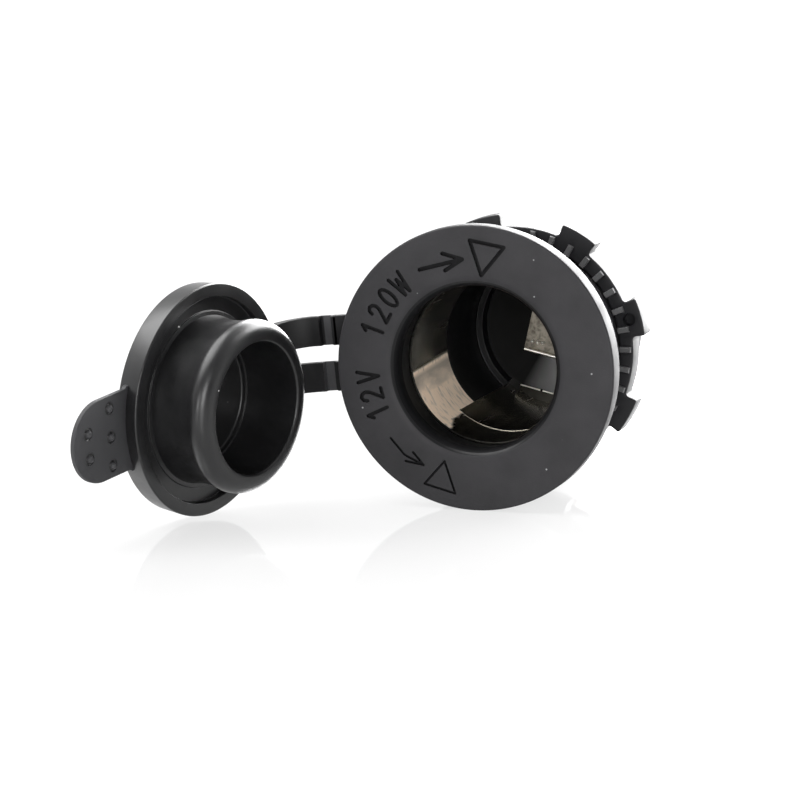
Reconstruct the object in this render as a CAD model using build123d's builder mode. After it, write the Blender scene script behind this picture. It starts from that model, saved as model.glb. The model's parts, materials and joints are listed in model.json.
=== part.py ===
from build123d import *
import math
import os

# Panel socket for a vehicle's 12 V supply, with a rubber cap on two straps and a ring nut.
# Millimetres. The origin is on the bore's axis, in the plane of the panel's front face.
# The bore opens towards -Y, the terminals point to +Y, and +Z is up.

os.makedirs("parts", exist_ok=True)

# bore, from the mouth inwards
lead_r = 11.15
mouth_draft = 0.25
lip_round = 1.1
sleeve_t = 0.4
sleeve_in = 7.0
sleeve_len = 15.4
sleeve_edge = 0.25
deep_play = 0.2
ledge_w = 0.95
ledge_h = 2.0
bore_depth = 38.5
floor_t = 2.5

# flange and barrel
barrel_wall = 2.85
thread_end_y = 26.1
thread_lead = 0.8
neck_step = 0.2
neck_len = 1.5
relief_d = 0.3
rear_wall = 0.85
rear_chamfer = 1.0
flange_land = 4.3
flange_t = 2.6
flange_round = 0.5
flange_heel = 0.3

# contacts and terminals, keyed to the housing at one turn about the bore
key_turn = 12.5
tail_half = 27.0
tail_hole_r = 0.4
tail_hole_turn = 19.0
tail_hole_in = 2.5
foot_in = 1.7
blade_w = 6.3
blade_t = 0.8
blade_len = 10.0
blade_tip = 1.1
blade_hole_r = 0.8
blade_hole_in = 3.4
leaf_w = 6.0
leaf_t = 0.5
leaf_bend = 0.4
leaf_up = 5.2
leaf_down = 3.6
leaf_curl = 0.9
leaf_stand = 2.8
rivet_r = 1.5
rivet_head_r = 2.5
rivet_head_h = 0.9
rivet_bevel = 0.5
bracket_up = 5.0
bracket_down = 2.5

# ring nut
nut_y = 14.95
nut_t = 3.5
nut_play = 0.1
nut_wall = 2.0
lug_h = 1.7
lug_count = 8
lug_half = 8.25
lug_start = 15.7
lug_round = 0.3
lug_root = 0.5
rib_count = 36
rib_start = 1.3
rib_inset = 0.15
rib_w = 0.8
rib_h = 0.4
rib_slope = 15.0
mark_r = 0.85
mark_d = 1.2

# rubber: gasket ring, straps and cap
gasket_t = 1.3
gasket_inset = 0.25
gasket_round = 0.25
strap_w = 3.9
strap_t = 1.2
strap_pitch = 6.04
strap_mid_z = 0.68
strap_slope = 6.0
root_out = 1.1
bend_out = 4.0
bend_pull = 1.6
film_w = 1.6
film_d = 0.8
cap_t = 2.4
rim_gap = 0.75
rim_w = 1.7
rim_draft = 0.35
rim_round = 0.3
heel_round = 0.4
groove_d = 1.0
plug_play = 0.5
bead_play = 0.4
plug_root = 0.8
plug_len = 7.6
bead_at = 5.2
nose_round = 1.8
plug_wall = 2.19
brim_round = 0.3
hollow_floor = 1.2
hollow_chamfer = 0.6
tab_t = 0.7
tab_len = 9.45
tab_half = 5.1
tab_flare = 1.2
tab_lean = 1.3
bump_r = 0.55
bump_rows = 4.25
bump_tip = 2.8
bump_pitch = 3.68
tip_pitch = 3.25
pad_out = 0.9

# hinge line across the straps, and the turn from the cap's seat to where it stands open
seat_gap = 0.15
hinge_out = 2.26
hinge_z = -1.37
hinge_lean_x = -0.0624
hinge_lean_y = -0.0808
open_turn = -106.9

# radii and stations that follow
mouth_r = lead_r + mouth_draft
sleeve_r = lead_r - sleeve_t
deep_r = sleeve_r + deep_play
tail_r = deep_r + sleeve_t / 2
earth_r = deep_r - foot_in + blade_t / 2
rear_r = deep_r + rear_wall
thread_r = lead_r + barrel_wall
neck_r = thread_r + neck_step
flange_r = neck_r + flange_land
front_y = -(flange_t + gasket_t)
sleeve_front_y = front_y + sleeve_in
sleeve_rear_y = sleeve_front_y + sleeve_len
floor_y = front_y + bore_depth
rear_y = floor_y + floor_t
blade_mid_y = rear_y + blade_len / 2
hole_y = rear_y + blade_len - blade_hole_in
nut_bore_r = thread_r + nut_play
nut_r = nut_bore_r + nut_wall
lug_r = nut_r + lug_h
plug_r = lead_r - plug_play
bead_r = lead_r - bead_play
hollow_r = plug_r - plug_wall
rim_in_r = mouth_r + lip_round + rim_gap
cap_front_r = rim_in_r + rim_w
cap_back_r = cap_front_r + rim_draft
tab_reach = cap_back_r + tab_len
pad_reach = cap_back_r + pad_out

# the cap's seat on the flange, turned about the hinge line to its open place
hinge_pivot = Vector(-(flange_r + hinge_out), -(strap_t - film_d) / 2, hinge_z)
hinge_line = Axis(hinge_pivot, (hinge_lean_x, hinge_lean_y, 1))
cap_seat = Vector(0, front_y - seat_gap, 0)
cap_centre = hinge_pivot + (cap_seat - hinge_pivot).rotate(hinge_line, open_turn)
plug_dir = Vector(0, 1, 0).rotate(hinge_line, open_turn)
tab_dir = Vector(1, 0, 0).rotate(hinge_line, open_turn)
side_dir = plug_dir.cross(tab_dir)

# directions of the keyed contacts, seen from the front
key_x = Vector(math.cos(math.radians(key_turn)), 0, -math.sin(math.radians(key_turn)))
key_up = Vector(math.sin(math.radians(key_turn)), 0, math.cos(math.radians(key_turn)))
tail_turn = 270.0 - key_turn


def facing(y, across=Vector(1, 0, 0)):
    """Plane across the bore at y, looking out of the mouth, with its own y upwards."""
    return Plane(origin=(0, y, 0), x_dir=across, z_dir=(0, -1, 0))


def through_axis(turn):
    """Plane through the bore's axis: local x runs outwards at this angle, local y backwards."""
    c = math.cos(math.radians(turn))
    s = math.sin(math.radians(turn))
    return Plane(origin=(0, 0, 0), x_dir=(c, 0, s), z_dir=(-s, 0, c))


# housing: flange, neck, barrel and closed rear end in one moulding
with BuildPart() as housing:
    with BuildSketch(Plane.XY):
        with BuildLine():
            lip = CenterArc((mouth_r + lip_round, front_y + lip_round), lip_round, 180, 90)
            rim = CenterArc((flange_r - flange_round, front_y + flange_round), flange_round, 270, 90)
            Line(lip @ 1, rim @ 0)
            Polyline(
                rim @ 1,
                (flange_r, -gasket_t - flange_heel),
                (flange_r - flange_heel, -gasket_t),
                (neck_r - relief_d, -gasket_t),
                (neck_r - relief_d, 0),
                (neck_r, 0),
                (neck_r, neck_len),
                (thread_r, neck_len),
                (thread_r, thread_end_y - thread_lead),
                (thread_r - thread_lead, thread_end_y),
                (rear_r, thread_end_y),
                (rear_r, rear_y - rear_chamfer),
                (rear_r - rear_chamfer, rear_y),
                (0, rear_y),
                (0, floor_y),
                (deep_r - ledge_w, floor_y),
                (deep_r - ledge_w, floor_y - ledge_h),
                (deep_r, floor_y - ledge_h),
                (deep_r, sleeve_rear_y),
                (lead_r, sleeve_rear_y),
                (lead_r, sleeve_front_y),
                lip @ 0,
            )
        make_face()
    revolve(axis=Axis.Y)
    # groove for the sleeve's tail down the bore's wall, and the slot for its blade
    with BuildSketch(through_axis(tail_turn + tail_half)):
        with Locations((tail_r - ledge_w / 2, (sleeve_rear_y + floor_y) / 2)):
            Rectangle(sleeve_t + ledge_w, floor_y - sleeve_rear_y)
    revolve(axis=Axis.Y, revolution_arc=2 * tail_half, mode=Mode.SUBTRACT)
    with BuildSketch(facing(rear_y, key_x)):
        with Locations((0, -earth_r)):
            Rectangle(blade_w, blade_t)
    extrude(amount=floor_t, mode=Mode.SUBTRACT)
    # rivet hole
    with BuildSketch(facing(rear_y)):
        Circle(rivet_r)
    extrude(amount=floor_t, mode=Mode.SUBTRACT)
housing.part.label = "housing"
export_step(housing.part, "parts/housing.step")

# contact sleeve: plated shell with a tail down the wall, a foot on the floor and the earth blade
with BuildPart() as sleeve:
    with BuildSketch(Plane.XY):
        with BuildLine():
            Polyline(
                (sleeve_r + sleeve_edge, sleeve_front_y),
                (lead_r, sleeve_front_y),
                (lead_r, sleeve_rear_y),
                (sleeve_r, sleeve_rear_y),
                (sleeve_r, sleeve_front_y + sleeve_edge),
                close=True,
            )
        make_face()
    revolve(axis=Axis.Y)
    with BuildSketch(through_axis(tail_turn + tail_half)):
        with Locations((tail_r, (sleeve_rear_y + floor_y) / 2)):
            Rectangle(sleeve_t, floor_y - sleeve_rear_y)
    revolve(axis=Axis.Y, revolution_arc=2 * tail_half)
    with BuildSketch(facing(floor_y, key_x)):
        with Locations((0, -(earth_r - blade_t / 2 + tail_r) / 2)):
            Rectangle(blade_w, tail_r - earth_r + blade_t / 2)
        Circle(tail_r, mode=Mode.INTERSECT)
    extrude(amount=sleeve_t)
    with BuildSketch(Plane(origin=key_up * -(earth_r + blade_t / 2), x_dir=key_x, z_dir=key_up)) as earth_blade:
        with Locations((0, (floor_y + rear_y + blade_len) / 2)):
            Rectangle(blade_w, floor_t + blade_len)
        chamfer(earth_blade.vertices().group_by(Axis.Y)[-1], blade_tip)
        with Locations((0, hole_y)):
            Circle(blade_hole_r, mode=Mode.SUBTRACT)
    extrude(amount=blade_t)
    for hole_turn in (tail_turn - tail_hole_turn, tail_turn + tail_hole_turn):
        hole_plane = through_axis(hole_turn)
        with BuildSketch(Plane(origin=(0, floor_y - tail_hole_in, 0), x_dir=(0, 1, 0), z_dir=hole_plane.x_dir)):
            Circle(tail_hole_r)
        extrude(amount=thread_r, mode=Mode.SUBTRACT)
sleeve.part.label = "contact_sleeve"
export_step(sleeve.part, "parts/contact_sleeve.step")

# centre contact: leaf folded back over itself, with its foot on the floor of the bore
with BuildPart() as leaf:
    with BuildSketch(Plane(origin=key_x * (-leaf_w / 2), x_dir=key_up, z_dir=key_x * -1)):
        with BuildLine():
            FilletPolyline(
                (leaf_bend - leaf_down, floor_y - leaf_stand + leaf_curl),
                (-leaf_down, floor_y - leaf_stand),
                (leaf_up, floor_y - leaf_stand),
                (leaf_up, floor_y - leaf_t / 2),
                (-rivet_head_r - leaf_t, floor_y - leaf_t / 2),
                radius=leaf_bend,
            )
        trace(line_width=leaf_t)
    extrude(amount=-leaf_w)
    with BuildSketch(facing(floor_y)):
        Circle(rivet_r)
    extrude(amount=2 * leaf_t, mode=Mode.SUBTRACT)
leaf.part.label = "centre_contact"
export_step(leaf.part, "parts/centre_contact.step")

# positive terminal: angle bracket on the rear face, clear of the earth blade
with BuildPart() as bracket:
    with BuildSketch(facing(rear_y, key_x)):
        with Locations((0, (bracket_up - bracket_down) / 2)):
            Rectangle(blade_w, bracket_up + bracket_down)
        Circle(rivet_r, mode=Mode.SUBTRACT)
    extrude(amount=-blade_t)
    with BuildSketch(Plane(origin=key_up * bracket_up, x_dir=key_x, z_dir=key_up)) as live_blade:
        with Locations((0, blade_mid_y)):
            Rectangle(blade_w, blade_len)
        chamfer(live_blade.vertices().group_by(Axis.Y)[-1], blade_tip)
        with Locations((0, hole_y)):
            Circle(blade_hole_r, mode=Mode.SUBTRACT)
    extrude(amount=-blade_t)
bracket.part.label = "positive_terminal"
export_step(bracket.part, "parts/positive_terminal.step")

# rivet through the leaf, the rear wall and the bracket
inner_seat_y = floor_y - leaf_t
outer_seat_y = rear_y + blade_t
with BuildPart() as rivet:
    with BuildSketch(Plane.XY):
        with BuildLine():
            Polyline(
                (0, inner_seat_y - rivet_head_h),
                (rivet_head_r - rivet_bevel, inner_seat_y - rivet_head_h),
                (rivet_head_r, inner_seat_y - rivet_head_h + rivet_bevel),
                (rivet_head_r, inner_seat_y),
                (rivet_r, inner_seat_y),
                (rivet_r, outer_seat_y),
                (rivet_head_r, outer_seat_y),
                (rivet_head_r, outer_seat_y + rivet_head_h - rivet_bevel),
                (rivet_head_r - rivet_bevel, outer_seat_y + rivet_head_h),
                (0, outer_seat_y + rivet_head_h),
                close=True,
            )
        make_face()
    revolve(axis=Axis.Y)
rivet.part.label = "centre_rivet"
export_step(rivet.part, "parts/centre_rivet.step")

# ring nut: castellated ring with ribs on its front face
lug_slope = math.tan(math.radians(lug_half))
with BuildPart() as nut:
    with BuildSketch(facing(nut_y + nut_t)) as nut_outline:
        with PolarLocations(0, lug_count, start_angle=lug_start):
            Polygon(
                (nut_bore_r, nut_bore_r * lug_slope),
                (nut_bore_r, -nut_bore_r * lug_slope),
                (lug_r + lug_h, -(lug_r + lug_h) * lug_slope),
                (lug_r + lug_h, (lug_r + lug_h) * lug_slope),
                align=None,
            )
        Circle(lug_r, mode=Mode.INTERSECT)
        Circle(nut_r)
        fillet(nut_outline.vertices().filter_by(lambda v: v.center().length > lug_r - lug_round), lug_round)
        fillet(nut_outline.vertices().filter_by(lambda v: v.center().length < nut_r + lug_round), lug_root)
        Circle(nut_bore_r, mode=Mode.SUBTRACT)
    extrude(amount=nut_t)
    with BuildSketch(facing(nut_y)):
        with PolarLocations((nut_bore_r + nut_r) / 2, rib_count, start_angle=rib_start):
            Rectangle(nut_wall - 2 * rib_inset, rib_w)
    extrude(amount=rib_h, taper=rib_slope)
    with BuildSketch(facing(nut_y)):
        with PolarLocations(nut_r, 1, start_angle=lug_start):
            Circle(mark_r)
    extrude(amount=-mark_d, mode=Mode.SUBTRACT)
nut.part.label = "ring_nut"
export_step(nut.part, "parts/ring_nut.step")

# gasket ring with the roots of the two straps
gasket_r = flange_r - gasket_inset
root_turn = math.radians(strap_slope)
root_plane = Plane(
    origin=(-(flange_r + root_out), 0, strap_mid_z),
    x_dir=(-math.cos(root_turn), 0, -math.sin(root_turn)),
    z_dir=(0, -1, 0),
)
root_len = root_out + gasket_inset + flange_land / 2
with BuildPart() as gasket:
    with BuildSketch(facing(0)):
        Circle(gasket_r)
    extrude(amount=gasket_t)
    fillet(gasket.edges().filter_by(GeomType.CIRCLE), gasket_round)
    with BuildSketch(root_plane):
        with Locations((-root_len / 2, strap_pitch / 2), (-root_len / 2, -strap_pitch / 2)):
            Rectangle(root_len, strap_w)
    extrude(amount=strap_t)
    with BuildSketch(facing(0)):
        Circle(neck_r)
    extrude(amount=gasket_t, mode=Mode.SUBTRACT)
gasket.part.label = "gasket_ring"
export_step(gasket.part, "parts/gasket_ring.step")

# straps: from the roots on the ring round to the pads on the cap, thinned at the hinge line
root_mid = root_plane.origin + root_plane.z_dir * (strap_t / 2)
pad_mid = cap_centre - tab_dir * pad_reach - plug_dir * (cap_t - strap_t / 2)
upper_root = root_mid - root_plane.y_dir * (strap_pitch / 2)
lower_root = root_mid + root_plane.y_dir * (strap_pitch / 2)
upper_pad = pad_mid - side_dir * (strap_pitch / 2)
lower_pad = pad_mid + side_dir * (strap_pitch / 2)
bend_run = root_plane.x_dir * (bend_out - root_out)
film_cut = Plane(
    origin=(hinge_pivot.X, film_d - strap_t, strap_mid_z),
    x_dir=root_plane.x_dir,
    z_dir=root_plane.z_dir,
)


def strap_planes(root, pad):
    """Cross-sections of a strap's bend, from the end of its straight run to its pad on the cap."""
    start = root + bend_run
    handle = root_plane.x_dir * bend_pull
    bend = Bezier(start, start + handle, pad - tab_dir * bend_pull, pad)
    middle = Plane(origin=bend @ 0.5, x_dir=Vector(0, 1, 0) - plug_dir, z_dir=bend % 0.5)
    return (
        Plane(origin=start, x_dir=(0, 1, 0), z_dir=root_plane.x_dir),
        middle,
        Plane(origin=pad, x_dir=plug_dir * -1, z_dir=tab_dir),
    )


with BuildPart() as upper_strap:
    with BuildSketch(Plane(origin=upper_root, x_dir=(0, 1, 0), z_dir=root_plane.x_dir)):
        Rectangle(strap_t, strap_w)
    extrude(amount=bend_run.length)
    with BuildSketch(film_cut):
        Rectangle(film_w, 4 * strap_pitch)
    extrude(amount=2 * strap_t, mode=Mode.SUBTRACT)
    with BuildSketch(*strap_planes(upper_root, upper_pad)):
        Rectangle(strap_t, strap_w)
    loft()
upper_strap.part.label = "upper_strap"
export_step(upper_strap.part, "parts/upper_strap.step")

with BuildPart() as lower_strap:
    with BuildSketch(Plane(origin=lower_root, x_dir=(0, 1, 0), z_dir=root_plane.x_dir)):
        Rectangle(strap_t, strap_w)
    extrude(amount=bend_run.length)
    with BuildSketch(film_cut):
        Rectangle(film_w, 4 * strap_pitch)
    extrude(amount=2 * strap_t, mode=Mode.SUBTRACT)
    with BuildSketch(*strap_planes(lower_root, lower_pad)):
        Rectangle(strap_t, strap_w)
    loft()
lower_strap.part.label = "lower_strap"
export_step(lower_strap.part, "parts/lower_strap.step")

# cap: plate with a raised rim, hollow plug, grip tab and strap pads
cap_back = Plane(origin=cap_centre - plug_dir * cap_t, x_dir=tab_dir, z_dir=plug_dir)
lean_dir = tab_dir.rotate(Axis((0, 0, 0), plug_dir), -tab_lean)
tab_back = Plane(origin=cap_back.origin, x_dir=lean_dir, z_dir=plug_dir)
inner_reach = hollow_r
pad_mid_x = -(pad_reach + inner_reach) / 2
tip_row = tab_reach - bump_tip
root_row = tip_row - bump_rows
with BuildPart() as cap:
    with BuildSketch(Plane(origin=cap_centre, x_dir=tab_dir, z_dir=side_dir * -1)):
        with BuildLine():
            heel = CenterArc((cap_back_r - heel_round, heel_round - cap_t), heel_round, 270, 90)
            crest = CenterArc((cap_front_r - rim_round, -rim_round), rim_round, 0, 90)
            inner = CenterArc((rim_in_r + rim_round, -rim_round), rim_round, 90, 90)
            Line((0, -cap_t), heel @ 0)
            Line(heel @ 1, crest @ 0)
            Line(crest @ 1, inner @ 0)
            flare = CenterArc((plug_r + plug_root, plug_root - groove_d), plug_root, 270, -90)
            Polyline(inner @ 1, (rim_in_r, -groove_d), flare @ 0)
            nose = CenterArc((bead_r - nose_round, plug_len - nose_round), nose_round, 0, 90)
            Polyline(flare @ 1, (plug_r, bead_at / 2), (bead_r, bead_at), nose @ 0)
            brim = CenterArc((hollow_r + brim_round, plug_len - brim_round), brim_round, 90, 90)
            Line(nose @ 1, brim @ 0)
            Polyline(
                brim @ 1,
                (hollow_r, hollow_chamfer - hollow_floor),
                (hollow_r - hollow_chamfer, -hollow_floor),
                (0, -hollow_floor),
                (0, -cap_t),
            )
        make_face()
    revolve(axis=Axis(cap_centre, plug_dir))
    with BuildSketch(tab_back) as tab_outline:
        Circle(cap_back_r - 2 * heel_round)
        with Locations((tab_reach - tab_half, 0)):
            Circle(tab_half)
        with Locations(((tab_reach - tab_half + inner_reach) / 2, 0)):
            Rectangle(tab_reach - tab_half - inner_reach, 2 * tab_half)
        fillet(tab_outline.vertices().sort_by(Axis.X)[0:2], tab_flare)
    extrude(amount=tab_t)
    with BuildSketch(cap_back):
        with Locations((pad_mid_x, strap_pitch / 2), (pad_mid_x, -strap_pitch / 2)):
            Rectangle(pad_reach - inner_reach, strap_w)
    extrude(amount=strap_t)
    with Locations(tab_back.offset(tab_t)):
        with Locations((tip_row, tip_pitch / 2), (tip_row, -tip_pitch / 2)):
            Sphere(bump_r)
        with Locations((root_row, bump_pitch), (root_row, 0), (root_row, -bump_pitch)):
            Sphere(bump_r)
cap.part.label = "cap"
export_step(cap.part, "parts/cap.step")
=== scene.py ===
import json
import logging
import math
from dataclasses import dataclass, replace
from enum import Enum
from typing import Callable, Iterable, Sequence

import bmesh
import bpy
from mathutils import Matrix, Vector

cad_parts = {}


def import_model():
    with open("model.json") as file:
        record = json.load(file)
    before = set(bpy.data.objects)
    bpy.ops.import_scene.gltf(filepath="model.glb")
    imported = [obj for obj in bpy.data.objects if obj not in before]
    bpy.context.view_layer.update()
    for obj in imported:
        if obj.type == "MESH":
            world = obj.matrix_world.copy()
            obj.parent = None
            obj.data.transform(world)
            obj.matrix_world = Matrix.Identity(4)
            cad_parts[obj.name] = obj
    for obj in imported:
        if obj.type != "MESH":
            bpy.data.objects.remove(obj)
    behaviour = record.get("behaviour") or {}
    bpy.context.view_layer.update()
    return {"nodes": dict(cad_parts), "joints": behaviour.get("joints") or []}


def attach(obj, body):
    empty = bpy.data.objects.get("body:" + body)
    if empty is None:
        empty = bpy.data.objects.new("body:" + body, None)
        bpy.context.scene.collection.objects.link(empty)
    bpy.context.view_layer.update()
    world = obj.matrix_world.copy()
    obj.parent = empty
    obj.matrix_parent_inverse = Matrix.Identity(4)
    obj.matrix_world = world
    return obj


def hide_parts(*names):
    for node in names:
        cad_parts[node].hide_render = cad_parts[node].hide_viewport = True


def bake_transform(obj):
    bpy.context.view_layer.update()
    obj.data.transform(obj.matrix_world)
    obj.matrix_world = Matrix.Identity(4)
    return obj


MM = 0.001
TURN = 2.0 * math.pi
TINY = 1e-6
CREASE = math.radians(32.0)
FINE_ROUND = 256
EVEN_ROUND = 224
LOG = logging.getLogger("power_socket")

Point2 = tuple[float, float]
Colour = tuple[float, float, float]
Piece = bpy.types.Object
Socket = bpy.types.NodeSocket


class Cut(Enum):
    """How a tool shape acts on the shape that it is combined with."""

    TAKE_AWAY = "DIFFERENCE"
    ADD = "UNION"


class Body(Enum):
    """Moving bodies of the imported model."""

    SOCKET = "socket"
    CAP = "cap"
    NUT = "nut"


def polar(radius: float, degrees: float, centre: Point2 = (0.0, 0.0)) -> Point2:
    """Gives the point at a radius and an angle round a centre."""
    a = math.radians(degrees)
    return (centre[0] + radius * math.cos(a), centre[1] + radius * math.sin(a))


def arc(centre: Point2, radius: float, start: float, sweep: float, steps: int = 6) -> list[Point2]:
    """Samples a circular arc from a start angle over a sweep in degrees; a negative one runs clockwise."""
    return [polar(radius, start + sweep * i / steps, centre) for i in range(steps + 1)]


@dataclass(frozen=True)
class Station:
    """A place in millimetres with three unit directions of its own.

    Attributes:
        origin: Where the station is.
        across: Direction of its first coordinate.
        side: Direction of its second coordinate.
        along: Direction of its third coordinate, the axis of turned shapes.
    """

    origin: Vector
    across: Vector
    side: Vector
    along: Vector

    def at(self, x: float, y: float, h: float) -> Vector:
        """Gives a local point of the station in metres."""
        return (self.origin + self.across * x + self.side * y + self.along * h) * MM

    def swung(self, radius: float, angle: float, h: float) -> Vector:
        """Gives the point at a radius and an angle in radians round the axis, in metres."""
        return self.at(radius * math.cos(angle), radius * math.sin(angle), h)

    def moved(self, x: float, y: float, h: float) -> "Station":
        """Gives this station moved to one of its own points."""
        return replace(self, origin=self.at(x, y, h) / MM)

    def turned(self, degrees: float) -> "Station":
        """Gives this station turned about its own axis, from across towards side."""
        c, s = polar(1.0, degrees)
        return replace(self, across=self.across * c + self.side * s, side=self.side * c - self.across * s)

    def rolled(self) -> "Station":
        """Gives this station with its directions moved on by one, so that across becomes the axis."""
        return Station(self.origin, self.side, self.along, self.across)


BORE = Station(Vector((0, 0, 0)), Vector((1, 0, 0)), Vector((0, 0, 1)), Vector((0, 1, 0)))
KEY = BORE.turned(-12.5)


def soften(corners: Sequence[tuple[float, float, float]], steps: int, closed: bool = True) -> list[Point2]:
    """Rounds the corners of an outline.

    Args:
        corners: Corner points, each with the radius that rounds it.
        steps: Number of chords on each rounded corner.
        closed: Whether the last corner joins the first.

    Returns:
        The outline's points in the same order.
    """
    out: list[Point2] = []
    count = len(corners)
    for i, (x, y, radius) in enumerate(corners):
        here = Vector((x, y))
        if radius <= 0 or (not closed and i in (0, count - 1)):
            out.append((x, y))
            continue
        back = (Vector(corners[i - 1][:2]) - here).normalized()
        ahead = (Vector(corners[(i + 1) % count][:2]) - here).normalized()
        half = back.angle(ahead) / 2
        middle = here + (back + ahead).normalized() * (radius / math.sin(half))
        first = here + back * (radius / math.tan(half)) - middle
        last = here + ahead * (radius / math.tan(half)) - middle
        turn = first.angle_signed(last)
        for k in range(steps + 1):
            a = -turn * k / steps
            c, s = math.cos(a), math.sin(a)
            out.append((middle.x + first.x * c - first.y * s, middle.y + first.x * s + first.y * c))
    return out


def inset(outline: Sequence[Point2], depth: float) -> list[Point2]:
    """Moves every point of a closed outline inwards.

    Args:
        outline: Points of the outline, anticlockwise.
        depth: How far each side moves in.

    Returns:
        The smaller outline, with as many points.
    """
    out = []
    count = len(outline)
    for i, (x, y) in enumerate(outline):
        back = Vector((x, y)) - Vector(outline[i - 1])
        ahead = Vector(outline[(i + 1) % count]) - Vector((x, y))
        way = (back.normalized() + ahead.normalized()).normalized()
        lean = max(0.5, way.dot(ahead.normalized()))
        out.append((x - way.y * depth / lean, y + way.x * depth / lean))
    return out


def ribbon(path: Sequence[Point2], thickness: float) -> list[Point2]:
    """Gives a bent strip's outline from its middle line.

    Args:
        path: Points of the middle line.
        thickness: Thickness of the strip.

    Returns:
        The closed outline, down one side and back along the other.
    """
    one, other = [], []
    for i, (x, y) in enumerate(path):
        back = Vector(path[max(i - 1, 0)])
        ahead = Vector(path[min(i + 1, len(path) - 1)])
        way = (ahead - back).normalized() * (thickness / 2)
        one.append((x + way.y, y - way.x))
        other.append((x - way.y, y + way.x))
    return one + other[::-1]


def capsule(start: Point2, end: Point2, width: float) -> list[Point2]:
    """Gives the outline of a round-ended stroke from the middle of one end to that of the other."""
    turn = math.degrees(math.atan2(end[1] - start[1], end[0] - start[0]))
    return arc(start, width / 2, turn + 90, 180) + arc(end, width / 2, turn - 90, 180)


def rounded_rings(station: Station, outline: Sequence[Point2], low: float, high: float,
                  bevels: Point2) -> list[list[Vector]]:
    """Gives the rings of an outline drawn out along a station's axis, with rounded rims.

    Args:
        station: Place of the outline.
        outline: Its points, anticlockwise.
        low: Height of its first end.
        high: Height of its second end.
        bevels: Radius of the rounding at the first and at the second end.

    Returns:
        The rings in metres, from the first end to the second.
    """
    rings = []
    for height, bevel, turn, up in ((low, bevels[0], 270, 1), (high, bevels[1], 180, -1)):
        rim = arc((bevel, up * bevel), bevel, turn, -90, 3) if bevel else [(0.0, 0.0)]
        for depth, rise in rim:
            edge = inset(outline, depth) if depth > TINY else outline
            rings.append([station.at(x, y, height + rise) for x, y in edge])
    return rings


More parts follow.
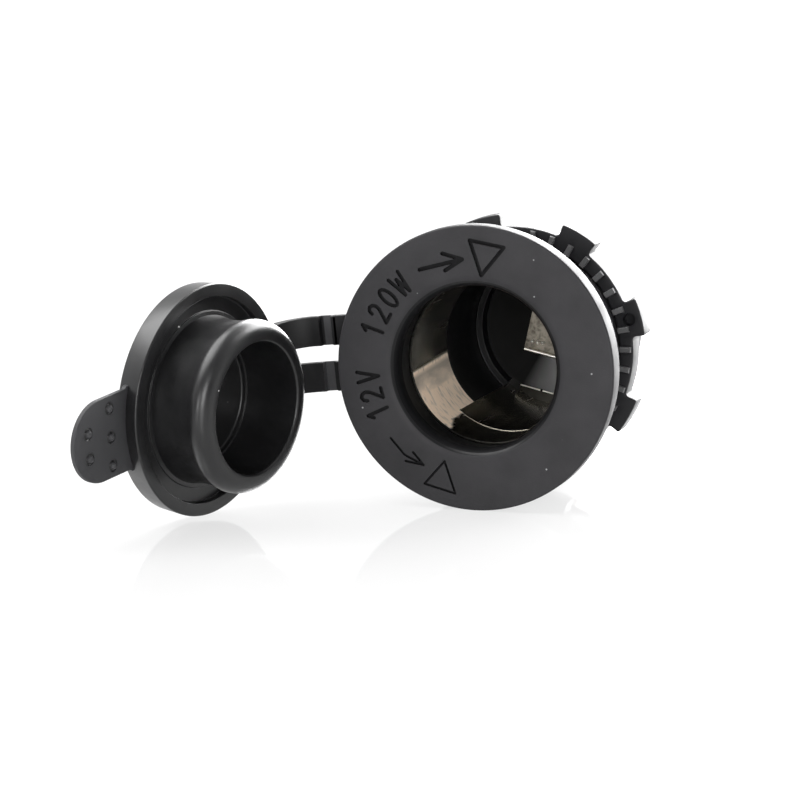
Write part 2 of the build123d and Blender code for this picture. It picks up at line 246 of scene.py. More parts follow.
class Shape:
    """Closed shells gathered in one mesh, before it becomes a piece of the model."""

    def __init__(self) -> None:
        """Starts with no shells."""
        self.mesh = bmesh.new()

    def loft(self, rings: Sequence[Sequence[Vector]], wrap: bool = False) -> "Shape":
        """Adds a skin over rings of points.

        Args:
            rings: Rings of equal length in metres; a ring of one point is a pole.
            wrap: Whether the last ring joins the first.

        Returns:
            This shape.
        """
        rows = [[self.mesh.verts.new(p) for p in ring] for ring in rings]
        pairs = list(zip(rows, rows[1:]))
        if wrap:
            pairs.append((rows[-1], rows[0]))
        for low, high in pairs:
            count = max(len(low), len(high))
            for i in range(count):
                j = (i + 1) % count
                if len(low) == 1:
                    self.mesh.faces.new((low[0], high[j], high[i]))
                elif len(high) == 1:
                    self.mesh.faces.new((low[i], low[j], high[0]))
                else:
                    self.mesh.faces.new((low[i], low[j], high[j], high[i]))
        if not wrap:
            for row in (rows[0], rows[-1]):
                if len(row) > 2:
                    self.mesh.faces.new(row)
        return self

    def spin(self, station: Station, profile: Sequence[Point2], segments: int,
             wrap: bool = False) -> "Shape":
        """Adds a turned shell.

        Args:
            station: Place and axis of the turning.
            profile: Radius and height of each point, from pole to pole or round a closed loop.
            segments: Number of steps round the axis.
            wrap: Whether the profile is a closed loop.

        Returns:
            This shape.
        """
        angles = [TURN * i / segments for i in range(segments)]
        rings = [[station.swung(radius, a, height) for a in angles] if radius >= TINY
                 else [station.at(0, 0, height)] for radius, height in profile]
        return self.loft(rings, wrap)

    def prism(self, station: Station, outline: Sequence[Point2], low: float, high: float,
              bevels: Point2 = (0.0, 0.0)) -> "Shape":
        """Adds an outline drawn out from a low to a high end of a station's axis, with rounded rims."""
        return self.loft(rounded_rings(station, outline, low, high, bevels))

    def sector(self, station: Station, section: Sequence[Point2], start: float, sweep: float,
               steps: int) -> "Shape":
        """Adds a section turned part of the way round an axis.

        Args:
            station: Place and axis of the turning.
            section: Radius and height of each corner of the section.
            start: First angle, in degrees.
            sweep: Angle that it covers, in degrees.
            steps: Number of steps.

        Returns:
            This shape.
        """
        angles = [math.radians(start + sweep * i / steps) for i in range(steps + 1)]
        return self.loft([[station.swung(r, a, h) for r, h in section] for a in angles])

    def thread(self, station: Station, radii: Point2, pitch: float, span: Point2,
               widths: Point2) -> "Shape":
        """Adds a helical ridge that fades at both ends.

        Args:
            station: Place and axis of the helix.
            radii: Radius of the ridge's base and of its crest.
            pitch: Advance in one turn.
            span: Heights of its first and last point.
            widths: Width of the base and of the crest.

        Returns:
            This shape.
        """
        steps_per_turn, fade = 72, 0.6
        turns = (span[1] - span[0]) / pitch
        count = round(turns * steps_per_turn)
        base, tip = widths[0] / 2, widths[1] / 2
        rings = []
        for i in range(count + 1):
            t = i / count
            lift = max(0.1, min(1.0, t * turns / fade, (1 - t) * turns / fade))
            crest = radii[0] + (radii[1] - radii[0]) * lift
            h = span[0] + (span[1] - span[0]) * t
            section = ((radii[0], -base), (crest, -tip), (crest, tip), (radii[0], base))
            rings.append([station.swung(r, TURN * turns * t, h + rise) for r, rise in section])
        return self.loft(rings)

    def ball(self, station: Station, radius: float) -> "Shape":
        """Adds a small ball round a station."""
        profile = [(max(0.0, r), height) for r, height in arc((0.0, 0.0), radius, -90, 180, 12)]
        return self.spin(station, profile, 24)

    def piece(self, name: str, *finishes: "Finish") -> Piece:
        """Turns the shells into an object.

        Args:
            name: Name of the object.
            finishes: Finishes of its surface, the main one first.

        Returns:
            The new object, linked to the scene.
        """
        bmesh.ops.remove_doubles(self.mesh, verts=self.mesh.verts, dist=1e-8)
        bmesh.ops.recalc_face_normals(self.mesh, faces=self.mesh.faces)
        data = bpy.data.meshes.new(name)
        self.mesh.to_mesh(data)
        self.mesh.free()
        obj = bpy.data.objects.new(name, data)
        bpy.context.scene.collection.objects.link(obj)
        for finish in finishes:
            data.materials.append(finish.material())
        smooth(obj)
        return obj


def smooth(obj: Piece) -> None:
    """Shades an object smooth, with its creases sharp."""
    obj.data.shade_smooth()
    obj.data.set_sharp_from_angle(angle=CREASE)


def combine(obj: Piece, tool: Piece, how: Cut, tangled: bool = False) -> None:
    """Cuts a tool shape out of an object or joins it on, and removes the tool.

    Args:
        obj: Object that changes.
        tool: Shape that acts on it.
        how: Whether the tool is taken away or added.
        tangled: Whether the tool's own shells cross each other.
    """
    step = obj.modifiers.new("combine", "BOOLEAN")
    step.operation = how.value
    step.solver = "EXACT"
    step.use_self = tangled
    step.material_mode = "TRANSFER"
    step.object = tool
    bpy.context.view_layer.update()
    made = bpy.data.meshes.new_from_object(obj.evaluated_get(bpy.context.evaluated_depsgraph_get()))
    obj.modifiers.clear()
    old, obj.data = obj.data, made
    bpy.data.meshes.remove(old)
    bpy.data.objects.remove(tool)
    smooth(obj)


class Graph:
    """Node graph of a material or of the world, with the few links that they need."""

    def __init__(self, owner: bpy.types.Material | bpy.types.World, coordinates: str = "Object") -> None:
        """Empties the owner's graph.

        Args:
            owner: Material or world that the graph belongs to.
            coordinates: Coordinates that its patterns lie in.
        """
        owner.use_nodes = True
        self.tree = owner.node_tree
        self.tree.nodes.clear()
        self.place = self.node("TexCoord", {}).outputs[coordinates]

    def node(self, kind: str, inputs: dict[str | int, object], **settings: object) -> bpy.types.Node:
        """Adds a node.

        Args:
            kind: Type of the node.
            inputs: What each input is linked to or set to.
            settings: Properties of the node.

        Returns:
            The node.
        """
        made = self.tree.nodes.new("ShaderNode" + kind)
        for key, value in settings.items():
            setattr(made, key, value)
        for key, value in inputs.items():
            if isinstance(value, Socket):
                self.tree.links.new(value, made.inputs[key])
            else:
                made.inputs[key].default_value = value
        return made

    def surface(self, inputs: dict[str | int, object]) -> Socket:
        """Adds a principled shader and gives its surface."""
        return self.node("BsdfPrincipled", inputs).outputs["BSDF"]

    def noise(self, scale: float, detail: float, stretch: Sequence[float] = (1, 1, 1)) -> Socket:
        """Adds noise of so many waves to the metre, squeezed along the object's axes."""
        lie = self.node("Mapping", {"Scale": stretch, "Vector": self.place}).outputs["Vector"]
        return self.node("TexNoise", {"Scale": scale, "Detail": detail, "Vector": lie}).outputs["Fac"]

    def spread(self, value: Socket, low: float, high: float, start: float = 0.3, end: float = 0.7,
               **settings: object) -> Socket:
        """Maps a value that runs from start to end to one that runs from low to high, held at its ends."""
        ends = {"From Min": start, "From Max": end, "To Min": low, "To Max": high}
        return self.node("MapRange", {**ends, "Value": value}, **settings).outputs["Result"]

    def tint(self, amount: Socket, first: Colour | Socket, second: Colour | Socket) -> Socket:
        """Mixes two colours.

        Args:
            amount: Share of the second colour.
            first: First colour, or the socket that gives it.
            second: Second colour, or the socket that gives it.

        Returns:
            The mixed colour's socket.
        """
        inputs: dict[str | int, object] = {"Factor": amount}
        for end, colour in (("A", first), ("B", second)):
            inputs[end] = colour if isinstance(colour, Socket) else (*colour, 1.0)
        return self.node("Mix", inputs, data_type="RGBA").outputs["Result"]

    def sum(self, operation: str, *terms: Socket | float) -> Socket:
        """Works out a value from two others."""
        return self.node("Math", dict(enumerate(terms)), operation=operation).outputs["Value"]

    def rays(self, *kinds: str) -> Socket:
        """Tells some kinds of rays from all others.

        Args:
            kinds: Names of the kinds.

        Returns:
            A socket that is 1 for these rays and 0 for others.
        """
        path = self.node("LightPath", {}).outputs
        seen = path[kinds[0]]
        for kind in kinds[1:]:
            seen = self.sum("MAXIMUM", seen, path[kind])
        return seen

    def winding(self, twist: float) -> Socket:
        """Gives the angle round the bore's axis.

        Args:
            twist: Radians to the metre by which it winds along the axis.

        Returns:
            The angle's socket, in radians.
        """
        axes = self.node("SeparateXYZ", {"Vector": self.place}).outputs
        turn = self.sum("ARCTAN2", axes["Z"], axes["X"])
        return self.sum("ADD", turn, self.sum("MULTIPLY", axes["Y"], twist))

    def specks(self, cells: float, size: float, share: float) -> Socket:
        """Adds sparse round specks.

        Args:
            cells: Cells to the metre; each holds one speck at most.
            size: Radius of a speck as a share of its cell.
            share: Share of the cells that hold a speck.

        Returns:
            A socket that is 1 on a speck and 0 elsewhere.
        """
        dots = self.node("TexVoronoi", {"Scale": cells, "Vector": self.place}).outputs
        near = self.spread(dots["Distance"], 1.0, 0.0, size * 0.5, size)
        draw = self.node("SeparateColor", {"Color": dots["Color"]}).outputs["Red"]
        return self.sum("MULTIPLY", near, self.sum("LESS_THAN", draw, share))

    def relief(self, height: Socket, strength: float, depth: float, under: Socket | None = None) -> Socket:
        """Adds a bump.

        Args:
            height: Height of the bump, from 0 to 1.
            strength: Share of the bump that shows.
            depth: Its full height in metres.
            under: Normal of a bump that this one lies on.

        Returns:
            The bumped normal's socket.
        """
        inputs: dict[str | int, object] = {"Strength": strength, "Distance": depth, "Height": height}
        if under is not None:
            inputs["Normal"] = under
        return self.node("Bump", inputs).outputs["Normal"]


class Finish:
    """A surface finish that makes its material once."""

    _made: dict[str, bpy.types.Material] = {}

    def material(self) -> bpy.types.Material:
        """Makes the finish's material on first use.

        Returns:
            The material.
        """
        if self.label not in Finish._made:
            made = bpy.data.materials.new(self.label)
            graph = Graph(made)
            graph.node("OutputMaterial", {"Surface": self.paint(graph)})
            Finish._made[self.label] = made
        return Finish._made[self.label]

    def paint(self, graph: Graph) -> Socket:
        """Fills the material's graph and gives its surface; each finish has its own."""
        raise NotImplementedError


@dataclass(frozen=True)
class MouldedPlastic(Finish):
    """Moulded plastic with an eroded grain and a little dust.

    Attributes:
        label: Name of the material.
        colour: Colour of the plastic.
        roughness: Roughness where it is smoothest and where it is dullest.
        grain: Waves of the grain to the metre.
        grain_depth: Height of the grain in metres.
        dust: Share of the dust cells that hold a speck.
        gloss: Strength of its shine.
        painted_light: Angles round the bore, in radians, where a painted pool of light begins, is full,
            fades and ends; outside it the colour is darkened as painted shade.
    """

    label: str
    colour: Colour
    roughness: Point2
    grain: float
    grain_depth: float
    dust: float
    gloss: float
    painted_light: tuple[float, ...] = ()

    PATCHES, PALER, UNWORN = 160.0, 1.35, 0.02
    DUST_CELLS, DUST_SIZE, DUST_COLOUR = 520.0, 0.075, (0.2, 0.2, 0.205)
    WEAR, GRAIN_SHARE, BEND = 420.0, 0.55, 1.48

    def paint(self, graph: Graph) -> Socket:
        """Fills the graph with grain, patches of wear, dust and, where it is asked for, a painted pool of
        light with painted shade round it.

        Args:
            graph: Graph of the material.

        Returns:
            The surface.
        """
        patches = graph.spread(graph.noise(self.PATCHES, 4.0), 0.0, 1.0)
        body = graph.tint(patches, self.colour, tuple(min(1.0, c * self.PALER) for c in self.colour))
        # Painted pool of light: the colour is kept inside the sector and darkened as painted shade outside
        # it.
        if self.painted_light:
            turn = graph.winding(0.0)
            rise = graph.spread(turn, 0.0, 1.0, *self.painted_light[:2])
            fall = graph.spread(turn, 1.0, 0.0, *self.painted_light[2:])
            dark = tuple(c * self.UNWORN for c in self.colour)
            body = graph.tint(graph.sum("MULTIPLY", rise, fall), dark, body)
        dust = graph.specks(self.DUST_CELLS, self.DUST_SIZE, self.dust)
        return graph.surface({
            "Base Color": graph.tint(dust, body, self.DUST_COLOUR),
            "Roughness": graph.spread(graph.noise(self.WEAR, 5.0), *self.roughness),
            "Normal": graph.relief(graph.noise(self.grain, 2.0), self.GRAIN_SHARE, self.grain_depth),
            "IOR": self.BEND,
            "Specular IOR Level": self.gloss,
        })


@dataclass(frozen=True)
class SatinRubber(Finish):
    """Satin rubber with rubbed streaks, a soft bloom and clinging dust.

    Attributes:
        label: Name of the material.
        colour: Colour of the rubber.
        bloom: Colour of its pale bloom.
        roughness: Roughness where it is rubbed and where it is dull.
        dust: Share of the dust cells that hold a speck.
        gloss: Strength of its shine.
    """

    label: str
    colour: Colour
    bloom: Colour
    roughness: Point2
    dust: float
    gloss: float

    CLOUDS, STREAKS, BEND = 110.0, 260.0, 1.52
    DUST_CELLS, DUST_SIZE, DUST_COLOUR = 430.0, 0.07, (0.5, 0.5, 0.5)
    SWELLS, SWELL_SHARE, SWELL_DEPTH = 240.0, 0.25, 0.00006
    PORES, PORE_SHARE, PORE_DEPTH = 5200.0, 0.35, 0.000012

    def paint(self, graph: Graph) -> Socket:
        """Fills the graph with bloom, streaks, pores and dust.

        Args:
            graph: Graph of the material.

        Returns:
            The surface.
        """
        cloud = graph.spread(graph.noise(self.CLOUDS, 5.0), 0.0, 1.0, 0.42, 0.8)
        body = graph.tint(cloud, self.colour, self.bloom)
        dust = graph.specks(self.DUST_CELLS, self.DUST_SIZE, self.dust)
        swell = graph.relief(graph.noise(self.SWELLS, 3.0), self.SWELL_SHARE, self.SWELL_DEPTH)
        return graph.surface({
            "Base Color": graph.tint(dust, body, self.DUST_COLOUR),
            "Roughness": graph.spread(graph.noise(self.STREAKS, 6.0), *self.roughness),
            "Normal": graph.relief(graph.noise(self.PORES, 2.0), self.PORE_SHARE, self.PORE_DEPTH, swell),
            "IOR": self.BEND,
            "Specular IOR Level": self.gloss,
        })


@dataclass(frozen=True)
class PlatedMetal(Finish):
    """Plated or bare sheet metal with drawing marks and dull patches, and where it is asked for, a painted
    pool of light.

    Attributes:
        label: Name of the material.
        colour: Colour of the clean metal.
        stain: Colour of its dull patches.
        roughness: Roughness where it is bright and where it is dull.
        marks: Squeeze of the drawing marks along the object's axes.
        patches: Dull patches to the metre.
        tooth: Share of the drawing marks and pits that shows as relief.
        painted_light_span: Angles round the bore, in radians, between which a pool of light is painted on
            the metal, or nothing.
        painted_light_colour: Colour painted there as light.
    """

    label: str
    colour: Colour
    stain: Colour
    roughness: Point2
    marks: tuple[float, float, float]
    patches: float
    tooth: float
    painted_light_span: tuple[float, ...] = ()
    painted_light_colour: Colour = (0.78, 0.70, 0.60)

    DRAWING, DRAWING_DEPTH = 900.0, 0.00002
    PITS, PIT_DEPTH = 3800.0, 0.000012
    SCUFF_TWIST, SCUFF_ROUGH, STREAK_SHADE = 2.8, 0.8, 0.5

    def paint(self, graph: Graph) -> Socket:
        """Fills the graph with stains, drawing marks, fine pits and, where it is asked for, a painted pool
        of light.

        Args:
            graph: Graph of the material.

        Returns:
            The surface.
        """
        stains = graph.spread(graph.noise(self.patches, 5.0), 0.0, 1.0, 0.45, 0.75)
        body = graph.tint(stains, self.colour, self.stain)
        drawn = graph.noise(self.DRAWING, 3.0, self.marks)
        rough = graph.spread(drawn, *self.roughness)
        if self.painted_light_span:
            body, rough = self.paint_light_patch(graph, body, rough)
        lines = graph.relief(drawn, self.tooth, self.DRAWING_DEPTH)
        pits = graph.relief(graph.noise(self.PITS, 2.0), self.tooth, self.PIT_DEPTH, lines)
        return graph.surface({"Base Color": body, "Roughness": rough, "Normal": pits, "Metallic": 1.0})

    def paint_light_patch(self, graph: Graph, body: Socket, rough: Socket) -> tuple[Socket, Socket]:
        """Paints a pool of light on the metal between the two angles and makes it rougher there, with
        darker streaks that gather near the first.

        Args:
            graph: Graph of the material.
            body: Colour of the metal elsewhere.
            rough: Roughness of the metal elsewhere.

        Returns:
            Colour and roughness of the whole metal.
        """
        first, last = self.painted_light_span
        turn = graph.winding(self.SCUFF_TWIST)
        wander = graph.spread(graph.noise(700.0, 4.0, (1, 0.3, 1)), -0.07, 0.07)
        ragged = graph.sum("ADD", turn, wander)
        upper = graph.spread(turn, 0.0, 1.0, first - 0.02, first + 0.03)
        lower = graph.spread(ragged, 1.0, 0.0, last - 0.04, last)
        # Mask of the painted pool of light, which is also made rougher.
        dull = graph.sum("MULTIPLY", upper, lower)
        # Darker streaks, and a darker band near the first angle, inside the painted pool of light.
        streaks = graph.spread(graph.noise(1300.0, 5.0, (0.5, 1, 0.5)), 0.0, 1.0, 0.5, 0.98)
        near = graph.spread(turn, 0.0, 0.8, first + 0.04, first + 0.1)
        far = graph.spread(ragged, 1.0, 0.0, first + 0.14, first + 0.34)
        streaks = graph.sum("MAXIMUM", streaks, graph.sum("MULTIPLY", near, far))
        painted_light = graph.tint(streaks, self.painted_light_colour, tuple(c * self.STREAK_SHADE for c in self.painted_light_colour))
        rough = graph.sum("ADD", rough, graph.sum("MULTIPLY", dull, self.SCUFF_ROUGH))
        return graph.tint(dull, body, painted_light), rough


@dataclass(frozen=True)
class WhiteSheet(Finish):
    """A white table top: matt, with a faint clear sheen that mirrors what stands on it.

    Attributes:
        label: Name of the material.
        colour: Colour of the table.
        sheen: Share of the light that the sheen mirrors.
        blur: Roughness of the sheen.
        glow: Share of plain white that the eye and mirrors see through the shade.
    """

    label: str
    colour: Colour
    sheen: float
    blur: float
    glow: float

    def paint(self, graph: Graph) -> Socket:
        """Fills the graph with a matt base and a clear sheen.

        Args:
            graph: Graph of the material.

        Returns:
            The surface.
        """
        base = graph.node("BsdfDiffuse", {"Color": (*self.colour, 1.0)}).outputs["BSDF"]
        gloss = graph.node("BsdfGlossy", {"Roughness": self.blur}).outputs["BSDF"]
        both = graph.node("MixShader", {"Fac": self.sheen, 1: base, 2: gloss}).outputs["Shader"]
        seen = graph.rays("Is Camera Ray", "Is Glossy Ray", "Is Transmission Ray")
        share = graph.sum("MULTIPLY", seen, self.glow)
        white = graph.node("Emission", {}).outputs["Emission"]
        return graph.node("MixShader", {"Fac": share, 1: both, 2: white}).outputs["Shader"]


WHITE_TABLE = WhiteSheet("white_table", (0.93, 0.93, 0.93), 0.62, 0.05, 0.7)
HOUSING_GRAIN = MouldedPlastic(
    "housing_grained_plastic", (0.015, 0.0145, 0.016), (0.52, 0.64), 4200.0, 0.00002, 0.2, 0.26)
# Darker, less shiny copy of the housing plastic on the lip: painted shade where the mouth falls dark.
HOUSING_MOUTH_PAINTED_SHADE = MouldedPlastic(
    "housing_mouth_painted_shade", (0.005, 0.005, 0.0055), (0.45, 0.55), 2600.0, 0.00001, 0.0, 0.08)
HOUSING_BORE = MouldedPlastic(
    "housing_smooth_bore", (0.005, 0.005, 0.0055), (0.3, 0.38), 2600.0, 0.00001, 0.0, 0.2)
# Pale grey on the bore's floor inside a sector is a painted pool of light; outside the sector the colour is
# darkened as painted shade.
HOUSING_FLOOR_PAINTED_LIGHT = MouldedPlastic(
    "housing_bore_floor_painted_light", (0.45, 0.45, 0.455), (0.5, 0.6), 2600.0, 0.00001, 0.0, 0.1,
    (-2.1, -1.35, 0.0, 0.6))
# Darker, matter copy of the housing plastic: painted shade in the engraved strokes and on the foot's small
# ball that stands for a pilot hole.
HOUSING_MARKS_PAINTED_SHADE = MouldedPlastic(
    "housing_marks_painted_shade", (0.006, 0.006, 0.0065), (0.7, 0.8), 4200.0, 0.00001, 0.0, 0.15)
NUT_PLASTIC = MouldedPlastic(
    "ring_nut_plastic", (0.006, 0.006, 0.007), (0.4, 0.5), 3600.0, 0.00001, 0.03, 0.25)
# Paler copy of the nut plastic on the ribs: a painted highlight for the light their raised faces catch.
NUT_RIBS_PAINTED_HIGHLIGHT = MouldedPlastic(
    "ring_nut_ribs_painted_highlight", (0.055, 0.055, 0.056), (0.4, 0.5), 3600.0, 0.00001, 0.0, 0.4)
CAP_RUBBER = SatinRubber(
    "cap_satin_rubber", (0.006, 0.006, 0.0065), (0.012, 0.012, 0.0125), (0.28, 0.40), 0.12, 0.4)
TAB_RUBBER = SatinRubber(
    "tab_matt_rubber", (0.026, 0.026, 0.028), (0.034, 0.034, 0.036), (0.55, 0.65), 0.05, 0.3)
STRAP_RUBBER = SatinRubber(
    "strap_satin_rubber", (0.004, 0.004, 0.0045), (0.008, 0.008, 0.0085), (0.44, 0.55), 0.03, 0.2)
# Paler copy of the strap rubber on the hinge film: a painted highlight for the light band along the bend.
FILM_RUBBER_PAINTED_HIGHLIGHT = SatinRubber(
    "strap_film_painted_highlight", (0.03, 0.03, 0.032), (0.045, 0.045, 0.047), (0.4, 0.5), 0.0, 0.3)
# The sleeve's pale beige sector, with its darker streaks and band, is a painted pool of light on the plate.
SLEEVE_NICKEL_PAINTED_LIGHT = PlatedMetal(
    "sleeve_nickel_painted_light", (0.36, 0.34, 0.29), (0.28, 0.26, 0.21), (0.2, 0.28), (1, 0.08, 1), 230.0, 0.04,
    (-2.95, -2.12), (1.0, 0.9, 0.78))
TAIL_NICKEL = replace(SLEEVE_NICKEL_PAINTED_LIGHT, label="tail_nickel_plate", painted_light_span=())
# Much darker copy of the sleeve's plate: painted shade on the foot at the bore's floor and on the sleeve's
# front edge.
FOOT_NICKEL_PAINTED_SHADE = PlatedMetal(
    "foot_plate_painted_shade", (0.03, 0.029, 0.026), (0.02, 0.019, 0.017), (0.24, 0.34), (1, 0.08, 1), 230.0, 0.05)
# Near-white copy of the plate: painted highlights on the leaf's pips, its curl bead and the foot's edge
# bead.
PIP_NICKEL_PAINTED_HIGHLIGHT = PlatedMetal(
    "plate_painted_highlight", (0.95, 0.93, 0.88), (0.9, 0.87, 0.8), (0.3, 0.4), (1, 1, 1), 230.0, 0.05)
LEAF_NICKEL = PlatedMetal(
    "leaf_nickel_plate", (0.32, 0.295, 0.25), (0.1, 0.09, 0.075), (0.42, 0.6), (1, 1, 0.6), 1700.0, 0.8)
BARE_BRASS = PlatedMetal(
    "terminal_bare_brass", (0.52, 0.39, 0.19), (0.36, 0.26, 0.13), (0.24, 0.4), (1, 0.15, 1), 230.0, 0.18)


@dataclass
class Hinge:
    """The cap's hinge line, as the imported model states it, in millimetres.

    Attributes:
        pivot: A point on the line.
        axis: Direction of the line.
        swing: Degrees from the open rest place to the closed seat.
    """

    pivot: Vector
    axis: Vector
    swing: float

    @classmethod
    def of(cls, joints: Iterable[dict]) -> "Hinge":
        """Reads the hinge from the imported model's joints."""
        joint = next(j for j in joints if j["name"] == "cap_hinge")
        return cls(Vector(joint["pos_m"]) / MM, Vector(joint["axis"]).normalized(), joint["range_deg"][1])

    def opened(self, place: Vector) -> Vector:
        """Turns a point from where it is on the closed cap to where it is at rest."""
        return self.pivot + self.way(place - self.pivot)

    def way(self, direction: Vector) -> Vector:
        """Turns a direction from the closed cap to the open one."""
        return Matrix.Rotation(math.radians(-self.swing), 3, self.axis) @ direction


@dataclass
class Housing:
    """The moulded housing: marked flange, neck, threaded barrel and closed rear end.

    Attributes:
        front: Station of the flange's face along the bore.
        flange_back: Station of the flange's back.
        collar_end: Station where the collar behind the neck ends.
        sleeve_front: Station where the bore widens for the sleeve.
        sleeve_rear: Station where it narrows behind the sleeve.
        ledge: Station of the ledge round the floor.
        floor: Station of the bore's floor.
        rear: Station of the rear face.
        flange: Radius of the flange.
        neck: Radius of the neck inside the gasket.
        collar: Radius of the collar behind the neck.
        mouth: Radius of the mouth, inside its rounded lip.
        lip: Radius of the lip's rounding.
        land: Depth of the lip's inner edge below the flange's face.
        pocket: Radius of the pocket behind the lip, which takes the plug's bead.
        lead: Radius of the bore round the sleeve.
        deep: Radius of the bore behind the sleeve.
        well: Radius of the floor inside its ledge.
        groove: First angle of the groove for the sleeve's tail, and the angle that it covers, in degrees.
        thread_root: Radius between the thread's turns.
        thread_crest: Radius over the thread's turns.
        thread_pitch: Advance of the thread in one turn.
        thread_start: Station where the thread starts.
        thread_end: Station where the threaded part of the barrel ends.
        thread_widths: Width of the thread's base and of its crest.
        tail: Radius of the plain rear end.
        stroke_depth: Depth of the engraved strokes.
        figure_width: Width of a figure's strokes.
        figure_foot: Radius that the figures stand on.
        figure_height: Height of a figure.
        figure_step: Degrees from one figure to the next.
    """

    front: float = -3.9
    flange_back: float = -1.3
    collar_end: float = 1.5
    sleeve_front: float = 3.1
    sleeve_rear: float = 18.5
    ledge: float = 32.6
    floor: float = 34.6
    rear: float = 37.1
    flange: float = 18.5
    neck: float = 13.9
    collar: float = 14.2
    mouth: float = 10.55
    lip: float = 1.6
    land: float = 2.65
    pocket: float = 11.1
    lead: float = 11.15
    deep: float = 10.95
    well: float = 10.0
    groove: Point2 = (230.5, 54.0)
    thread_root: float = 13.3
    thread_crest: float = 14.0
    thread_pitch: float = 2.0
    thread_start: float = 2.6
    thread_end: float = 26.1
    thread_widths: Point2 = (1.75, 0.5)
    tail: float = 11.8
    stroke_depth: float = 0.5
    figure_width: float = 0.48
    figure_foot: float = 13.0
    figure_height: float = 2.9
    figure_step: float = 9.5

    SIGNS = (
        (0.5, [(-0.63, 16.56), (3.94, 15.78), (0.93, 12.1), (-0.63, 16.56)]),
        (0.3, [(-3.99, -12.24), (-6.7, -15.34), (-2.54, -16.4), (-3.99, -12.24)]),
        (0.55, [(-7.32, 12.52), (-1.62, 14.07)]),
        (0.55, [(-4.26, 14.72), (-1.62, 14.07), (-3.87, 12.56)]),
        (0.3, [(-11.3, -9.59), (-9.4, -11.7), (-6.81, -12.9)]),
        (0.3, [(-9.28, -12.5), (-6.81, -12.9), (-8.26, -11.3)]),
    )
    FIGURES = (("12V", 206.0), ("120W", 162.0))
    GLYPHS = {
        "0": [[(0.28 + 0.28 * math.cos(TURN * i / 16), 0.5 + 0.5 * math.sin(TURN * i / 16))
               for i in range(17)]],
        "1": [[(0.1, 0.78), (0.34, 1.0), (0.34, 0.0)]],
        "2": [[(0.02, 0.76), (0.1, 0.93), (0.28, 1.0), (0.46, 0.93), (0.54, 0.76), (0.47, 0.56), (0.0, 0.0),
               (0.56, 0.0)]],
        "V": [[(0.0, 1.0), (0.3, 0.0), (0.6, 1.0)]],
        "W": [[(-0.08, 1.0), (0.12, 0.0), (0.3, 0.78), (0.48, 0.0), (0.68, 1.0)]],
    }

    def build(self) -> Piece:
        """Builds the housing and lets it stand for its solid.

        Returns:
            The housing.
        """
        shape = Shape().spin(BORE, self.profile(), FINE_ROUND)
        housing = shape.piece("housing_shell", HOUSING_GRAIN, HOUSING_MARKS_PAINTED_SHADE, HOUSING_MOUTH_PAINTED_SHADE, HOUSING_BORE,
                              HOUSING_FLOOR_PAINTED_LIGHT)
        combine(housing, self.marks(), Cut.TAKE_AWAY, tangled=True)
        combine(housing, self.tail_groove(), Cut.TAKE_AWAY)
        ridge = Shape().thread(BORE, (self.thread_root - 0.25, self.thread_crest), self.thread_pitch,
                               (self.thread_start, self.thread_end - 1.0), self.thread_widths)
        combine(housing, ridge.piece("thread_ridge", HOUSING_GRAIN), Cut.ADD)
        self.blacken(housing)
        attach(housing, Body.SOCKET.value)
        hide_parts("housing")
        return housing

    def blacken(self, housing: Piece) -> None:
        """Gives the lip a darker finish as painted shade, the bore its own finish and its floor a pale
        finish that paints a pool of light.

        Args:
            housing: The housing, whose inner faces change.
        """
        mouth, bore, floor = 2, 3, 4
        for face in housing.data.polygons:
            x, y, z = face.center / MM
            radius = math.hypot(x, z)
            # The lip takes the darker mouth finish: painted shade.
            if radius < self.mouth + self.lip * 0.4 and y < 0.0:
                face.material_index = mouth
            # The floor takes the pale finish that paints a pool of light.
            elif radius < self.well + 0.1 and abs(y - self.floor) < 0.2:
                face.material_index = floor
            elif radius < self.lead + 0.1 and y < self.floor + 0.5:
                face.material_index = bore

    def profile(self) -> list[Point2]:
        """Gives the turned outline, from the rear face round the flange and down the bore to its floor.

        Returns:
            Radius and height of each point.
        """
        land = self.front + self.land
        return soften([
            (0.0, self.rear, 0.0), (self.tail, self.rear, 0.9), (self.tail, self.thread_end, 0.25),
            (self.thread_root, self.thread_end, 0.5), (self.thread_root, self.collar_end, 0.2),
            (self.collar, self.collar_end, 0.2), (self.collar, 0.0, 0.08), (self.neck, 0.0, 0.08),
            (self.neck, self.flange_back, 0.2), (self.flange, self.flange_back, 0.3),
            (self.flange, self.front, 0.3), (self.mouth, self.front, self.lip),
            (self.mouth + 0.02, land, 0.12), (self.pocket, land + 0.2, 0.05),
            (self.pocket, self.sleeve_front - 0.02, 0.0), (self.lead, self.sleeve_front, 0.0),
            (self.lead + 0.02, self.sleeve_rear, 0.0), (self.deep, self.sleeve_rear, 0.08),
            (self.deep, self.ledge, 0.15), (self.well, self.ledge, 0.12), (self.well, self.floor, 0.25),
            (0.0, self.floor, 0.0),
        ], 6, closed=False)

    def tail_groove(self) -> Piece:
        """Makes the tool that opens the ledge for the sleeve's tail and the floor for its blade.

        Returns:
            The tool.
        """
        low, high = self.ledge - 0.6, self.floor + 0.001
        inside, outside = self.well - 0.4, self.deep - 0.01
        section = [(inside, low), (outside, low), (outside, high), (inside, high)]
        return Shape().sector(BORE, section, *self.groove, 48).piece("tail_groove", HOUSING_GRAIN)

